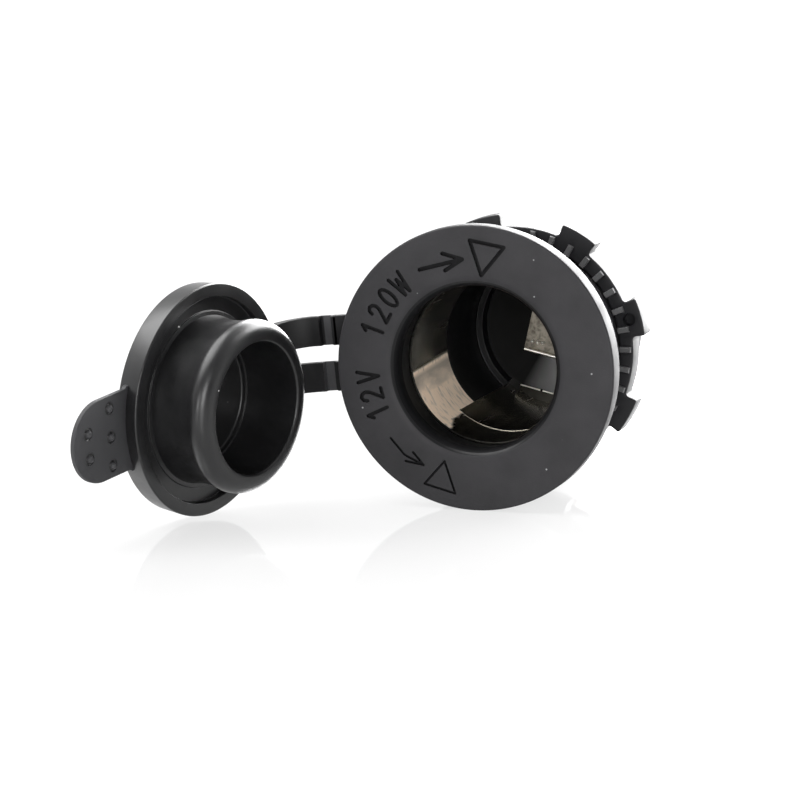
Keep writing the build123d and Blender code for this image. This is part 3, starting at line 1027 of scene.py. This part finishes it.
    def marks(self) -> Piece:
        """Makes the tool that engraves the triangles, the arrows and the plain figures; its darker finish,
        left in the strokes, paints shade in them.

        Returns:
            The tool.
        """
        strokes = list(self.SIGNS)
        for text, turn in self.FIGURES:
            strokes += [(self.figure_width, path) for path in self.figures(text, turn)]
        face = Station(Vector((0, self.front, 0)), BORE.across, BORE.side, BORE.along * -1)
        shape = Shape()
        for count, (width, path) in enumerate(strokes):
            sunk = -self.stroke_depth - 0.012 * (count % 3)
            for start, end in zip(path, path[1:]):
                shape.prism(face, capsule(start, end, width), sunk, 0.6)
        return shape.piece("face_marks", HOUSING_MARKS_PAINTED_SHADE)

    def figures(self, text: str, turn: float) -> list[list[Point2]]:
        """Lays figures clockwise round the flange, upright outwards.

        Args:
            text: Figures to lay.
            turn: Angle of the first, in degrees.

        Returns:
            Paths of their strokes on the flange's face.
        """
        slim, middle = 0.78, 0.28
        foot, height = self.figure_foot, self.figure_height
        out = []
        for count, figure in enumerate(text):
            up = Vector(polar(1.0, turn - self.figure_step * count))
            along = Vector((up.y, -up.x))
            for path in self.GLYPHS[figure]:
                spots = [up * (foot + height * y) + along * (height * slim * (x - middle)) for x, y in path]
                out.append([(p.x, p.y) for p in spots])
        return out


@dataclass
class RingNut:
    """The castellated ring nut with ribs on its front face.

    Attributes:
        front: Station of its front face along the bore.
        thickness: Thickness without the ribs.
        bore: Radius of its bore over the thread's crests.
        groove: Radius at the bottom of its own thread.
        pitch: Advance of its thread in one turn.
        thread_widths: Width of its thread at the bore and at the bottom.
        body: Radius between the lugs.
        lug: Radius over the lugs.
        lugs: Number of lugs.
        lug_half: Half of a lug's angle, in degrees.
        lug_start: Angle of the first lug, in degrees.
        edge: Radius of its rounded edges.
        lead: Width of the chamfers of its bore.
        ribs: Number of ribs.
        rib_start: Angle of the first rib, in degrees.
        rib_middle: Radius of the ribs' middles.
    """

    front: float = 14.95
    thickness: float = 3.5
    bore: float = 14.1
    groove: float = 14.5
    pitch: float = 2.0
    thread_widths: Point2 = (1.5, 0.4)
    body: float = 16.1
    lug: float = 17.8
    lugs: int = 8
    lug_half: float = 8.25
    lug_start: float = 15.7
    edge: float = 0.22
    lead: float = 0.3
    ribs: int = 36
    rib_start: float = 1.3
    rib_middle: float = 15.04

    RIB_STEPS = ((0.8, 0.4, 0.3), (0.8, 0.4, 0.0), (0.73, 0.32, -0.35), (0.68, 0.27, -0.4))

    def build(self) -> Piece:
        """Builds the nut and lets it stand for its solid.

        Returns:
            The nut.
        """
        outer = self.outline()
        inner = [(self.bore * x / math.hypot(x, y), self.bore * y / math.hypot(x, y)) for x, y in outer]
        low, high, lead = self.front, self.front + self.thickness, self.lead
        rings = rounded_rings(BORE, outer, low, high, (self.edge, self.edge))
        for grow, height in ((lead, high), (0.0, high - lead), (0.0, low + lead), (lead, low)):
            scale = 1 + grow / self.bore
            rings.append([BORE.at(x * scale, y * scale, height) for x, y in inner])
        nut = Shape().loft(rings, wrap=True).piece("ring_nut_moulding", NUT_PLASTIC, NUT_RIBS_PAINTED_HIGHLIGHT)
        combine(nut, self.rib_set(), Cut.ADD, tangled=True)
        combine(nut, self.dimple(), Cut.TAKE_AWAY)
        turns = Shape().thread(BORE, (self.bore - 0.3, self.groove), self.pitch, (low - 1.5, high + 1.5),
                               self.thread_widths)
        combine(nut, turns.piece("nut_thread", NUT_PLASTIC), Cut.TAKE_AWAY, tangled=True)
        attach(nut, Body.NUT.value)
        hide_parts("ring_nut")
        return nut

    def outline(self) -> list[Point2]:
        """Gives the castellated outline with rounded lug corners.

        Returns:
            Its points, anticlockwise.
        """
        corners = []
        pitch, wide = 360.0 / self.lugs, 2 * self.lug_half
        for k in range(self.lugs):
            start = self.lug_start + pitch * k - self.lug_half
            spots = [(self.body, 0.0, 0.5), (self.lug, 0.0, 0.3)]
            spots += [(self.lug, wide * i / 6, 0.0) for i in range(1, 6)]
            spots += [(self.lug, wide, 0.3), (self.body, wide, 0.5)]
            spots += [(self.body, wide + (pitch - wide) * i / 12, 0.0) for i in range(1, 12)]
            corners += [(*polar(radius, start + turn), rounding) for radius, turn, rounding in spots]
        return soften(corners, 4)

    def rib_set(self) -> Piece:
        """Makes the short tapered ribs of the front face, in a paler finish that paints the light caught by
        their raised faces.

        Returns:
            The ribs.
        """
        shape = Shape()
        for k in range(self.ribs):
            rib = BORE.turned(self.rib_start + 360.0 * k / self.ribs)
            rings = []
            for reach, half, height in self.RIB_STEPS:
                corners = ((-reach, -half), (reach, -half), (reach, half), (-reach, half))
                rings.append([rib.at(self.rib_middle + x, y, self.front + height) for x, y in corners])
            shape.loft(rings)
        return shape.piece("nut_ribs", NUT_RIBS_PAINTED_HIGHLIGHT)

    def dimple(self) -> Piece:
        """Makes the tool that sinks the round mark at the root of the first lug.

        Returns:
            The tool.
        """
        place = BORE.turned(self.lug_start).moved(self.body, 0, self.front)
        profile = [(0.0, 1.2), (0.75, 1.2), (0.85, 1.1), (0.85, -0.6), (0.0, -0.6)]
        return Shape().spin(place, profile, 48).piece("nut_mark", NUT_PLASTIC)


@dataclass
class Cap:
    """The rubber cap: rimmed plate, hollow plug, grip tab with studs, and strap pads.

    Attributes:
        hinge: Hinge line that gives its open place.
        seat: Station of its rim along the bore when it is closed.
        plate_back: Height of the plate's back face below the rim.
        plate_face: Height of the plate's face between the rim and the plug.
        back: Height of the tab's and the pads' backs.
        rim_in: Inner radius of the rim.
        rim_out: Outer radius of the rim's crest.
        back_out: Outer radius at the plate's back.
        root: Radius of the ring round the plug's root.
        waist: Radius of the plug's waist, which the mouth's lip clasps.
        waist_up: Height of the waist.
        belly: Growth of the plug's radius with the square of the height from its waist.
        bead: Radius over the plug's bead.
        reach: Height of the plug.
        hollow: Radius of its hollow.
        hollow_floor: Height of the hollow's floor.
        tab_half: Half of the tab's width.
        tab_root: How far from the middle the tab's flare ends.
        tab_reach: How far the tab reaches from the middle.
        tab_thick: Thickness of the tab.
        tab_lean: How far the tab leans to one side, in degrees.
        stud: Radius of a stud.
        stud_ring: Radius of the ring round a stud, and of its section.
        pitch: Distance between the strap pads' middle lines.
        pad_half: Half of a pad's width.
        pad_reach: How far the pads reach from the middle.
        pad_thick: Thickness of the pads.
        bury: How far from the middle the tab and the pads start, inside the plate.
    """

    hinge: Hinge
    seat: float = -4.05
    plate_back: float = -3.2
    plate_face: float = -1.0
    back: float = -2.4
    rim_in: float = 13.25
    rim_out: float = 14.95
    back_out: float = 14.65
    root: float = 11.35
    waist: float = 10.48
    waist_up: float = 1.9
    belly: float = 0.044
    bead: float = 11.05
    reach: float = 7.6
    hollow: float = 8.46
    hollow_floor: float = -1.2
    tab_half: float = 5.25
    tab_root: float = 14.7
    tab_reach: float = 24.75
    tab_thick: float = 0.7
    tab_lean: float = 1.3
    stud: float = 0.5
    stud_ring: Point2 = (0.66, 0.17)
    pitch: float = 6.04
    pad_half: float = 1.95
    pad_reach: float = 16.2
    pad_thick: float = 1.2
    bury: float = 9.0

    def station(self) -> Station:
        """Gives the open cap's station.

        Returns:
            Its rim's middle, with its tab, side and plug directions.
        """
        along = self.hinge.way(BORE.along)
        across = self.hinge.way(BORE.across)
        return Station(self.hinge.opened(Vector((0, self.seat, 0))), across, along.cross(across), along)

    def build(self) -> Piece:
        """Builds the cap and lets it stand for its solid.

        Returns:
            The cap.
        """
        place = self.station()
        leaning = place.turned(-self.tab_lean)
        cap = Shape().spin(place, self.profile(), FINE_ROUND).piece("cap_moulding", CAP_RUBBER, TAB_RUBBER)
        combine(cap, self.tab(leaning), Cut.ADD)
        combine(cap, self.pads(place), Cut.ADD)
        combine(cap, self.rings(leaning), Cut.TAKE_AWAY)
        combine(cap, self.studs(leaning), Cut.ADD)
        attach(cap, Body.CAP.value)
        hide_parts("cap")
        return cap

    def profile(self) -> list[Point2]:
        """Gives the turned outline, from the back's middle round the rim and the plug into the hollow.

        Returns:
            Radius and height of each point.
        """
        heights = [0.45 * step - 0.72 for step in range(15)]
        return soften([
            (0.0, self.plate_back, 0.0), (self.back_out, self.plate_back, 0.25), (self.rim_out, 0.0, 0.2),
            (self.rim_in, 0.0, 0.12), (self.rim_in, self.plate_face, 0.2),
            (self.root, self.plate_face, 0.06), (self.root - 0.05, self.plate_face + 0.2, 0.06),
            *[(self.waist + self.belly * (height - self.waist_up) ** 2, height, 0.0) for height in heights],
            (self.bead, self.reach, 1.8), (self.hollow, self.reach, 0.3), (self.hollow, -0.5, 0.06),
            (self.hollow - 0.22, -0.52, 0.06), (self.hollow - 0.25, self.hollow_floor, 0.3),
            (0.0, self.hollow_floor, 0.0),
        ], 8, closed=False)

    def tab(self, place: Station) -> Piece:
        """Makes the grip tab, flared a little where it joins the plate.

        Args:
            place: The leaning tab's station.

        Returns:
            The tab.
        """
        flare, bend, half = 50.0, 0.8, self.tab_half
        outline = [(self.bury, -half - 0.6)]
        outline += arc((self.tab_root, -half - bend), bend, 90 + flare, -flare, 8)
        outline += arc((self.tab_reach - half, 0.0), half, -90, 180, 48)
        outline += arc((self.tab_root, half + bend), bend, -90, -flare, 8)
        outline.append((self.bury, half + 0.6))
        shape = Shape().prism(place, outline, self.back, self.back + self.tab_thick, (0.15, 0.12))
        return shape.piece("grip_tab", TAB_RUBBER)

    def pads(self, place: Station) -> Piece:
        """Makes the two pads that carry the straps.

        Args:
            place: The cap's station.

        Returns:
            The pads.
        """
        shape = Shape()
        for side in (-self.pitch / 2, self.pitch / 2):
            low, high = side - self.pad_half, side + self.pad_half
            outline = soften([(-self.pad_reach, high, 0.15), (-self.pad_reach, low, 0.15),
                              (-self.bury, low, 0.0), (-self.bury, high, 0.0)], 3)
            shape.prism(place, outline, self.back, self.back + self.pad_thick, (0.12, 0.12))
        return shape.piece("strap_pads", CAP_RUBBER)

    def spots(self) -> list[Point2]:
        """Gives the places of the tab's studs."""
        tip, root = self.tab_reach - 2.8, self.tab_reach - 7.05
        return [(tip, 1.62), (tip, -1.62), (root, 3.68), (root, 0.0), (root, -3.68)]

    def rings(self, place: Station) -> Piece:
        """Makes the tool that sinks a fine ring round each stud.

        Args:
            place: The leaning tab's station.

        Returns:
            The tool.
        """
        shape = Shape()
        radius, wire = self.stud_ring
        for x, y in self.spots():
            spot = place.moved(x, y, self.back + self.tab_thick)
            shape.spin(spot, arc((radius, 0.02), wire, 0, 330, 11), 32, wrap=True)
        return shape.piece("stud_rings", CAP_RUBBER)

    def studs(self, place: Station) -> Piece:
        """Makes the round studs of the tab.

        Args:
            place: The leaning tab's station.

        Returns:
            The studs.
        """
        shape = Shape()
        for x, y in self.spots():
            shape.ball(place.moved(x, y, self.back + self.tab_thick - 0.02), self.stud)
        return shape.piece("tab_studs", TAB_RUBBER)


@dataclass
class Straps:
    """The two rubber straps, thinned to a film at the hinge line.

    Attributes:
        hinge: Hinge line that they bend about.
        cap: The cap that they end on.
        root_x: Where they leave the gasket's roots.
        middle_z: Height between them at their roots.
        slope: Fall of their roots, in degrees.
        run: Length of their straight run.
        width: Width of a strap.
        thickness: Thickness of a strap.
        film: Thickness of the film.
        film_width: Width of the film along the strap.
        step: Half of the length over which the strap thins to the film.
        pull: Length of the bend's handles.
    """

    hinge: Hinge
    cap: Cap
    root_x: float = -19.6
    middle_z: float = 0.68
    slope: float = 6.0
    run: float = 2.9
    width: float = 3.9
    thickness: float = 1.2
    film: float = 0.4
    film_width: float = 1.6
    step: float = 0.06
    pull: float = 1.6

    def build(self) -> list[Piece]:
        """Builds both straps, bent across the hinge, and lets them stand for their solids.

        Returns:
            The upper strap and the lower one.
        """
        out, film = [], 1
        for name, side in (("upper_strap", -1.0), ("lower_strap", 1.0)):
            rings = self.straight(side) + self.bend(side)
            strap = Shape().loft(rings).piece(name + "_band", STRAP_RUBBER, FILM_RUBBER_PAINTED_HIGHLIGHT)
            # Faces on the hinge film take the paler film finish, a painted highlight.
            for face in strap.data.polygons:
                if abs(face.center.x / MM - self.hinge.pivot.x) < self.film_width / 2 - 0.1:
                    face.material_index = film
            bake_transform(strap)
            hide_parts(name)
            out.append(strap)
        return out

    def ways(self) -> tuple[Vector, Vector]:
        """Gives the direction in which the straps leave their roots, and the one down across them."""
        c, s = polar(1.0, self.slope)
        return Vector((-c, 0, -s)), Vector((s, 0, -c))

    def root(self, side: float) -> Vector:
        """Gives the middle of the upper (-1) or the lower (1) strap's root, in millimetres."""
        middle = Vector((self.root_x, -self.thickness / 2, self.middle_z))
        return middle + self.ways()[1] * (self.cap.pitch / 2 * side)

    def straight(self, side: float) -> list[list[Vector]]:
        """Gives one strap's cross-sections from its root over the film to the bend.

        Args:
            side: -1 for the upper strap, 1 for the lower one.

        Returns:
            Rings of points in metres.
        """
        out_way, down = self.ways()
        middle = (self.root_x - self.hinge.pivot.x) / polar(1.0, self.slope)[0]
        thick_end, thick_start = middle - self.film_width / 2, middle + self.film_width / 2
        thin, wide, count = thick_end + self.step, self.film_width - 2 * self.step, 14
        places = [(-0.3, 0.0), (thick_end - self.step, 0.0)]
        places += [(thin + wide * i / count, 1.0) for i in range(count + 1)]
        places += [(thick_start + self.step, 0.0), (self.run - 0.3, 0.0)]
        root = self.root(side)
        return [self.section(root + out_way * place, BORE.along, down, cut) for place, cut in places]

    def bend(self, side: float) -> list[list[Vector]]:
        """Gives one strap's cross-sections round the bend to its pad.

        Args:
            side: -1 for the upper strap, 1 for the lower one.

        Returns:
            Rings of points in metres.
        """
        count = 20
        out_way, down = self.ways()
        place = self.cap.station()
        back = place.along * -1
        half = self.cap.pitch / 2 * side
        pad = place.at(-self.cap.pad_reach, half, self.cap.back + self.thickness / 2) / MM
        start = self.root(side) + out_way * self.run
        handles = (start, start + out_way * self.pull, pad - place.across * self.pull, pad)
        rings = []
        for i in range(count + 1):
            t = i / count
            u = 1 - t
            weights = (u ** 3, 3 * u * u * t, 3 * u * t * t, t ** 3)
            here = sum((h * w for h, w in zip(handles, weights)), Vector())
            rings.append(self.section(here, BORE.along.lerp(back, t), down.lerp(place.side, t), 0.0))
        return rings + [self.section(pad + place.across * 0.25, back, place.side, 0.0)]

    def section(self, middle: Vector, thick: Vector, wide: Vector, cut: float) -> list[Vector]:
        """Gives one rounded cross-section.

        Args:
            middle: Middle of the full section in millimetres.
            thick: Direction through the strap, towards its back.
            wide: Direction across the strap.
            cut: 1 where the front is cut down to the film, 0 elsewhere.

        Returns:
            The section's points in metres.
        """
        front = -self.thickness / 2 + cut * (self.thickness - self.film)
        back, half = self.thickness / 2, self.width / 2
        edge = 0.18 if cut < 0.5 else 0.1
        thick = thick.normalized()
        wide = (wide - thick * wide.dot(thick)).normalized()
        corners = [(front, -half, edge), (back, -half, edge), (back, half, edge), (front, half, edge)]
        return [(middle + thick * x + wide * y) * MM for x, y in soften(corners, 3)]


@dataclass
class GasketRing:
    """The rubber gasket under the flange, with the roots of the two straps.

    Attributes:
        straps: The straps that leave it.
        hole: Radius of its hole.
        outer: Its outer radius.
        thickness: Its thickness.
        bury: Length of the straps' roots.
    """

    straps: Straps
    hole: float = 14.2
    outer: float = 18.25
    thickness: float = 1.3
    bury: float = 3.0

    def build(self) -> Piece:
        """Builds the gasket and lets it stand for its solid.

        Returns:
            The gasket.
        """
        low, high = -self.thickness + 0.01, -0.01
        profile = soften([(self.hole, low, 0.1), (self.outer, low, 0.25), (self.outer, high, 0.25),
                          (self.hole, high, 0.1)], 4)
        ring = Shape().spin(BORE, profile, EVEN_ROUND, wrap=True).piece("gasket_moulding", STRAP_RUBBER)
        out_way, down = self.straps.ways()
        roots = Shape()
        for side in (-1.0, 1.0):
            ends = [self.straps.root(side) - out_way * back for back in (0.0, self.bury)]
            roots.loft([self.straps.section(end, BORE.along, down, 0.0) for end in ends])
        combine(ring, roots.piece("strap_roots", STRAP_RUBBER), Cut.ADD)
        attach(ring, Body.SOCKET.value)
        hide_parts("gasket_ring")
        return ring


@dataclass
class ContactSleeve:
    """The plated sleeve in the bore, with its tail, foot and earth blade.

    Attributes:
        inner: Inner radius of the sleeve.
        outer: Outer radius of the sleeve.
        front: Station of its front edge.
        rear: Station of its rear edge.
        tail_front: Station of the tail's front edge, which lies inside the sleeve.
        tail_turn: Angle of the tail's middle, in degrees.
        tail_half: Half of the tail's angle, in degrees.
        hole_turn: Angle from the tail's middle to its holes, in degrees.
        hole_up: Distance of the holes from the floor.
        hole: Radius of the tail's holes.
        floor: Station of the bore's floor.
        heel: Radius of the foot's outer edge.
        toe: Distance of the foot's inner edge from the bore's axis.
        blade_half: Half of the blade's width.
        blade_down: Distance of the blade from the bore's axis.
        blade_tip: Station of the blade's tip.
    """

    inner: float = 10.75
    outer: float = 11.13
    front: float = 3.1
    rear: float = 18.45
    tail_front: float = 11.6
    tail_turn: float = 257.5
    tail_half: float = 27.0
    hole_turn: float = 19.0
    hole_up: float = 2.5
    hole: float = 0.4
    floor: float = 34.6
    heel: float = 10.85
    toe: float = 9.2
    blade_half: float = 3.15
    blade_down: float = 10.05
    blade_tip: float = 47.1

    def build(self) -> Piece:
        """Builds the sleeve and lets it stand for its solid.

        Returns:
            The sleeve.
        """
        profile = soften([(self.inner, self.front, 0.08), (self.outer, self.front, 0.08),
                          (self.outer, self.rear, 0.0), (self.inner, self.rear, 0.1)], 4)
        shape = Shape().spin(BORE, profile, EVEN_ROUND, wrap=True)
        sleeve = shape.piece("sleeve_shell", SLEEVE_NICKEL_PAINTED_LIGHT, FOOT_NICKEL_PAINTED_SHADE, PIP_NICKEL_PAINTED_HIGHLIGHT, TAIL_NICKEL,
                             HOUSING_MARKS_PAINTED_SHADE)
        for part in (self.wall_tail(), self.foot(), self.blade()):
            combine(sleeve, part, Cut.ADD)
        # The sleeve's front edge takes the dark foot plate: painted shade over its rim.
        dull = 1
        for face in sleeve.data.polygons:
            if face.center.y / MM < self.front + 0.1:
                face.material_index = dull
        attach(sleeve, Body.SOCKET.value)
        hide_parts("contact_sleeve")
        return sleeve

    def wall_tail(self) -> Piece:
        """Makes the tail down the wall, with its two small holes.

        Returns:
            The tail.
        """
        inside, outside, end = self.inner - 0.08, self.inner + 0.17, self.floor - 0.02
        section = soften([(inside, self.tail_front, 0.05), (outside, self.tail_front, 0.05),
                          (outside, end, 0.0), (inside, end, 0.0)], 3)
        shape = Shape().sector(BORE, section, self.tail_turn - self.tail_half, 2 * self.tail_half, 64)
        tail = shape.piece("sleeve_tail", TAIL_NICKEL)
        holes = Shape()
        for turn in (self.tail_turn - self.hole_turn, self.tail_turn + self.hole_turn):
            spot = BORE.turned(turn).moved(self.inner, 0, self.floor - self.hole_up).rolled()
            holes.spin(spot, [(0.0, -1.0), (self.hole, -1.0), (self.hole, 1.0), (0.0, 1.0)], 32)
        combine(tail, holes.piece("tail_holes", TAIL_NICKEL), Cut.TAKE_AWAY)
        return tail

    def foot(self) -> Piece:
        """Makes the foot that turns in on the floor, with a bead along its edge whose near-white finish is
        a painted highlight, and a small dark ball on it that paints the shade of a pilot hole.

        Returns:
            The foot.
        """
        wide, toe, face = self.blade_half, -self.toe, self.floor - 0.36
        half = math.degrees(math.asin(wide / self.heel))
        outline = arc((0.0, 0.0), self.heel, 270 - half, 2 * half, 10)
        outline += soften([(wide, toe - 0.4, 0.0), (wide, toe, 0.2), (-wide, toe, 0.2),
                           (-wide, toe - 0.4, 0.0)], 3, closed=False)
        foot = Shape().prism(KEY, outline, self.floor - 0.4, self.floor - 0.01, (0.12, 0.0))
        foot = foot.piece("sleeve_foot", FOOT_NICKEL_PAINTED_SHADE, PIP_NICKEL_PAINTED_HIGHLIGHT, HOUSING_MARKS_PAINTED_SHADE)
        rim = KEY.moved(0, toe - 0.06, face).rolled()
        edge = Shape().prism(rim, arc((0.0, 0.0), 0.1, 0, 330, 11), 0.1 - wide, wide - 0.1)
        combine(foot, edge.piece("foot_edge", PIP_NICKEL_PAINTED_HIGHLIGHT), Cut.ADD)
        # A small dark ball in the marks finish paints the shade of a pilot hole.
        mark = Shape().ball(KEY.moved(0.05, toe - 0.04, face), 0.2)
        combine(foot, mark.piece("foot_hole_painted_shade", HOUSING_MARKS_PAINTED_SHADE), Cut.ADD)
        return foot

    def blade(self) -> Piece:
        """Makes the earth blade behind the rear wall, tapered to its tip, with a locking hole.

        Returns:
            The blade.
        """
        half, tip, taper, thickness = self.blade_half, self.blade_tip, 1.1, 0.8
        lock, lock_back = 0.8, 3.4
        place = Station(KEY.side * -self.blade_down, KEY.across, KEY.along, KEY.side)
        outline = soften([(-half, self.floor - 0.2, 0.0), (half, self.floor - 0.2, 0.0),
                          (half, tip - taper, 0.2), (half - taper, tip, 0.2),
                          (taper - half, tip, 0.2), (-half, tip - taper, 0.2)], 3)
        blade = Shape().prism(place, outline, 0.0, thickness, (0.1, 0.1)).piece("earth_blade", TAIL_NICKEL)
        profile = [(0.0, -0.5), (lock, -0.5), (lock, 1.3), (0.0, 1.3)]
        hole = Shape().spin(place.moved(0, tip - lock_back, 0), profile, 40)
        combine(blade, hole.piece("blade_hole", TAIL_NICKEL), Cut.TAKE_AWAY)
        return blade


@dataclass
class CentreContact:
    """The folded leaf on the floor of the bore, with its pressed pips.

    Attributes:
        floor: Station of the bore's floor.
        stand: How far the leaf's face stands off the floor.
        thickness: Thickness of the leaf.
        half: Half of its width.
        up: How far it reaches up from the bore's axis.
        down: How far it reaches down.
        fold: Radius of its fold.
        curl: Radius of the bead along its lower edge, whose near-white finish is a painted highlight.
        pip: Radius of a pip.
    """

    floor: float = 34.6
    stand: float = 2.8
    thickness: float = 0.5
    half: float = 3.0
    up: float = 5.2
    down: float = 3.6
    fold: float = 0.9
    curl: float = 0.24
    pip: float = 0.25

    PIPS = ((-2.05, -2.32), (-1.3, -2.25), (-0.62, -2.1))

    def build(self) -> Piece:
        """Builds the leaf and lets it stand for its solid.

        Returns:
            The leaf.
        """
        face, seat = self.floor - self.stand, self.floor - self.thickness / 2 - 0.01
        path = soften([(0.4 - self.down, face + 0.9, 0.0), (-self.down, face, 0.28),
                       (self.up, face, self.fold), (self.up, seat, self.fold), (-3.0, seat, 0.0)], 6,
                      closed=False)
        place = KEY.rolled()
        shape = Shape().prism(place, ribbon(path, self.thickness), -self.half, self.half)
        leaf = shape.piece("centre_leaf", LEAF_NICKEL, PIP_NICKEL_PAINTED_HIGHLIGHT)
        # The pips and the curl bead take the near-white plate: painted highlights.
        pips = Shape()
        for x, z in self.PIPS:
            pips.ball(KEY.moved(x, z, face - self.thickness / 2 + 0.03), self.pip)
        combine(leaf, pips.piece("leaf_pips", PIP_NICKEL_PAINTED_HIGHLIGHT), Cut.ADD)
        edge = arc((-self.down, face - 0.1), self.curl, 0, 345, 16)
        curl = Shape().prism(place, edge, 0.02 - self.half, self.half - 0.02)
        combine(leaf, curl.piece("leaf_curl", PIP_NICKEL_PAINTED_HIGHLIGHT), Cut.ADD)
        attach(leaf, Body.SOCKET.value)
        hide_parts("centre_contact")
        return leaf


@dataclass
class RearMetal:
    """The rivet and the positive terminal, kept as solids with softened edges.

    Attributes:
        nodes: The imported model's nodes by name.
        edge: Width of their softened edges in metres.
    """

    nodes: dict[str, Piece]
    edge: float = 0.00012

    def dress(self) -> list[Piece]:
        """Gives both solids their metal and softened edges.

        Returns:
            The rivet and the terminal.
        """
        out = []
        for name in ("centre_rivet", "positive_terminal"):
            node = self.nodes[name]
            node.data.materials.clear()
            node.data.materials.append(BARE_BRASS.material())
            soft = node.modifiers.new("soft_edges", "BEVEL")
            soft.width = self.edge
            soft.segments = 2
            soft.limit_method = "ANGLE"
            out.append(node)
        return out


@dataclass
class Studio:
    """The plain studio round the object: white table, white room, five soft lamps and the camera.

    Attributes:
        azimuth: Camera's angle to the right of the bore's axis, in degrees.
        elevation: Camera's angle above the bore's axis, in degrees.
        distance: Camera's distance from the flange's face in metres.
        lens: Focal length in millimetres.
        shift: The frame's shift across and up.
        face: Station of the flange's face in metres.
        floor: Height of the table in metres.
        table_half: Half of the table's width in metres.
    """

    azimuth: float = 17.09
    elevation: float = 9.245
    distance: float = 0.46076
    lens: float = 162.0
    shift: Point2 = (-0.0927, -0.0389)
    face: float = -0.0039
    floor: float = -0.0185
    table_half: float = 4.0

    LAMPS = (
        ("back_sheet", (0.5, 1.5, 0.6), (0, 0, 0), (2.2, 1.6), 200.0),
        ("top_sheet", (-0.45, -0.1, 0.85), (0, 0, 0), (1.0, 0.8), 18.0),
        ("key_box", (0.3, -0.75, 0.17), (0, 0, 0), (0.3, 0.3), 3.6),
        ("fill_box", (-0.2, -0.85, 0.12), (0, 0, 0), (0.2, 0.2), 1.4),
        ("left_sheet", (-0.8, -0.35, 0.32), (-0.02, 0, 0), (1.0, 0.9), 2.6),
    )

    def build(self) -> None:
        """Sets the table, the room, the lamps and the camera."""
        self.table()
        self.room()
        for lamp in self.LAMPS:
            self.lamp(*lamp)
        self.camera()
        bpy.context.scene.view_settings.view_transform = "Standard"

    def camera(self) -> None:
        """Makes the camera, in front of the flange and a little above it to the right."""
        data = bpy.data.cameras.new("camera")
        data.lens = self.lens
        data.sensor_width = 36.0
        data.shift_x, data.shift_y = self.shift
        data.clip_start = 0.01
        camera = bpy.data.objects.new("camera", data)
        a, e = math.radians(self.azimuth), math.radians(self.elevation)
        way = Vector((math.sin(a) * math.cos(e), -math.cos(a) * math.cos(e), math.sin(e)))
        camera.location = Vector((0, self.face, 0)) + way * self.distance
        camera.rotation_euler = (-way).to_track_quat("-Z", "Y").to_euler()
        bpy.context.scene.collection.objects.link(camera)
        bpy.context.scene.camera = camera

    def lamp(self, name: str, place: Sequence[float], aim: Sequence[float], size: Point2,
             power: float) -> None:
        """Makes a soft area lamp that only lights.

        Args:
            name: Name of the lamp.
            place: Where it hangs in metres.
            aim: Point that it faces.
            size: Its width and height in metres.
            power: Its power in watts.
        """
        data = bpy.data.lights.new(name, "AREA")
        data.shape = "RECTANGLE"
        data.size, data.size_y = size
        data.energy = power
        lamp = bpy.data.objects.new(name, data)
        lamp.location = place
        lamp.rotation_euler = (Vector(aim) - Vector(place)).to_track_quat("-Z", "Y").to_euler()
        lamp.visible_camera = False
        bpy.context.scene.collection.objects.link(lamp)

    def table(self) -> None:
        """Makes the white table with a faint sheen."""
        shape, half = Shape(), self.table_half
        corners = ((-half, -half), (half, -half), (half, half), (-half, half))
        shape.mesh.faces.new([shape.mesh.verts.new((x, y, self.floor)) for x, y in corners])
        table = shape.piece("table", WHITE_TABLE)

    def room(self) -> None:
        """Makes a white room, dimmer in front for mirrors and all round for the light that it gives."""
        world = bpy.data.worlds.new("white_room")
        graph = Graph(world, "Generated")
        depth = graph.node("SeparateXYZ", {"Vector": graph.place}).outputs["Y"]
        front = graph.spread(depth, 0.1, 1.0, -0.75, 0.15, interpolation_type="SMOOTHSTEP")
        mirrored = graph.rays("Is Glossy Ray", "Is Transmission Ray")
        shine = graph.node("Mix", {"Factor": mirrored, "A": 0.15, "B": front}).outputs["Result"]
        seen = graph.rays("Is Camera Ray")
        view = graph.node("Mix", {"Factor": seen, "A": shine, "B": 1.0}).outputs["Result"]
        glow = graph.node("Background", {"Strength": view}).outputs["Background"]
        graph.node("OutputWorld", {"Surface": glow})
        bpy.context.scene.world = world


def main() -> None:
    """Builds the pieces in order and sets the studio."""
    logging.basicConfig(level=logging.INFO, format="%(name)s %(message)s")
    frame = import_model()
    hinge = Hinge.of(frame["joints"])
    cap = Cap(hinge)
    straps = Straps(hinge, cap)
    makers: list[Callable[[], Piece | list[Piece]]] = [
        Housing().build, ContactSleeve().build, CentreContact().build, RingNut().build, cap.build,
        straps.build, GasketRing(straps).build, RearMetal(frame["nodes"]).dress,
    ]
    for make in makers:
        made = make()
        for piece in made if isinstance(made, list) else [made]:
            LOG.info("%s: %d faces", piece.name, len(piece.data.polygons))
    Studio().build()


if __name__ == "__main__":
    main()
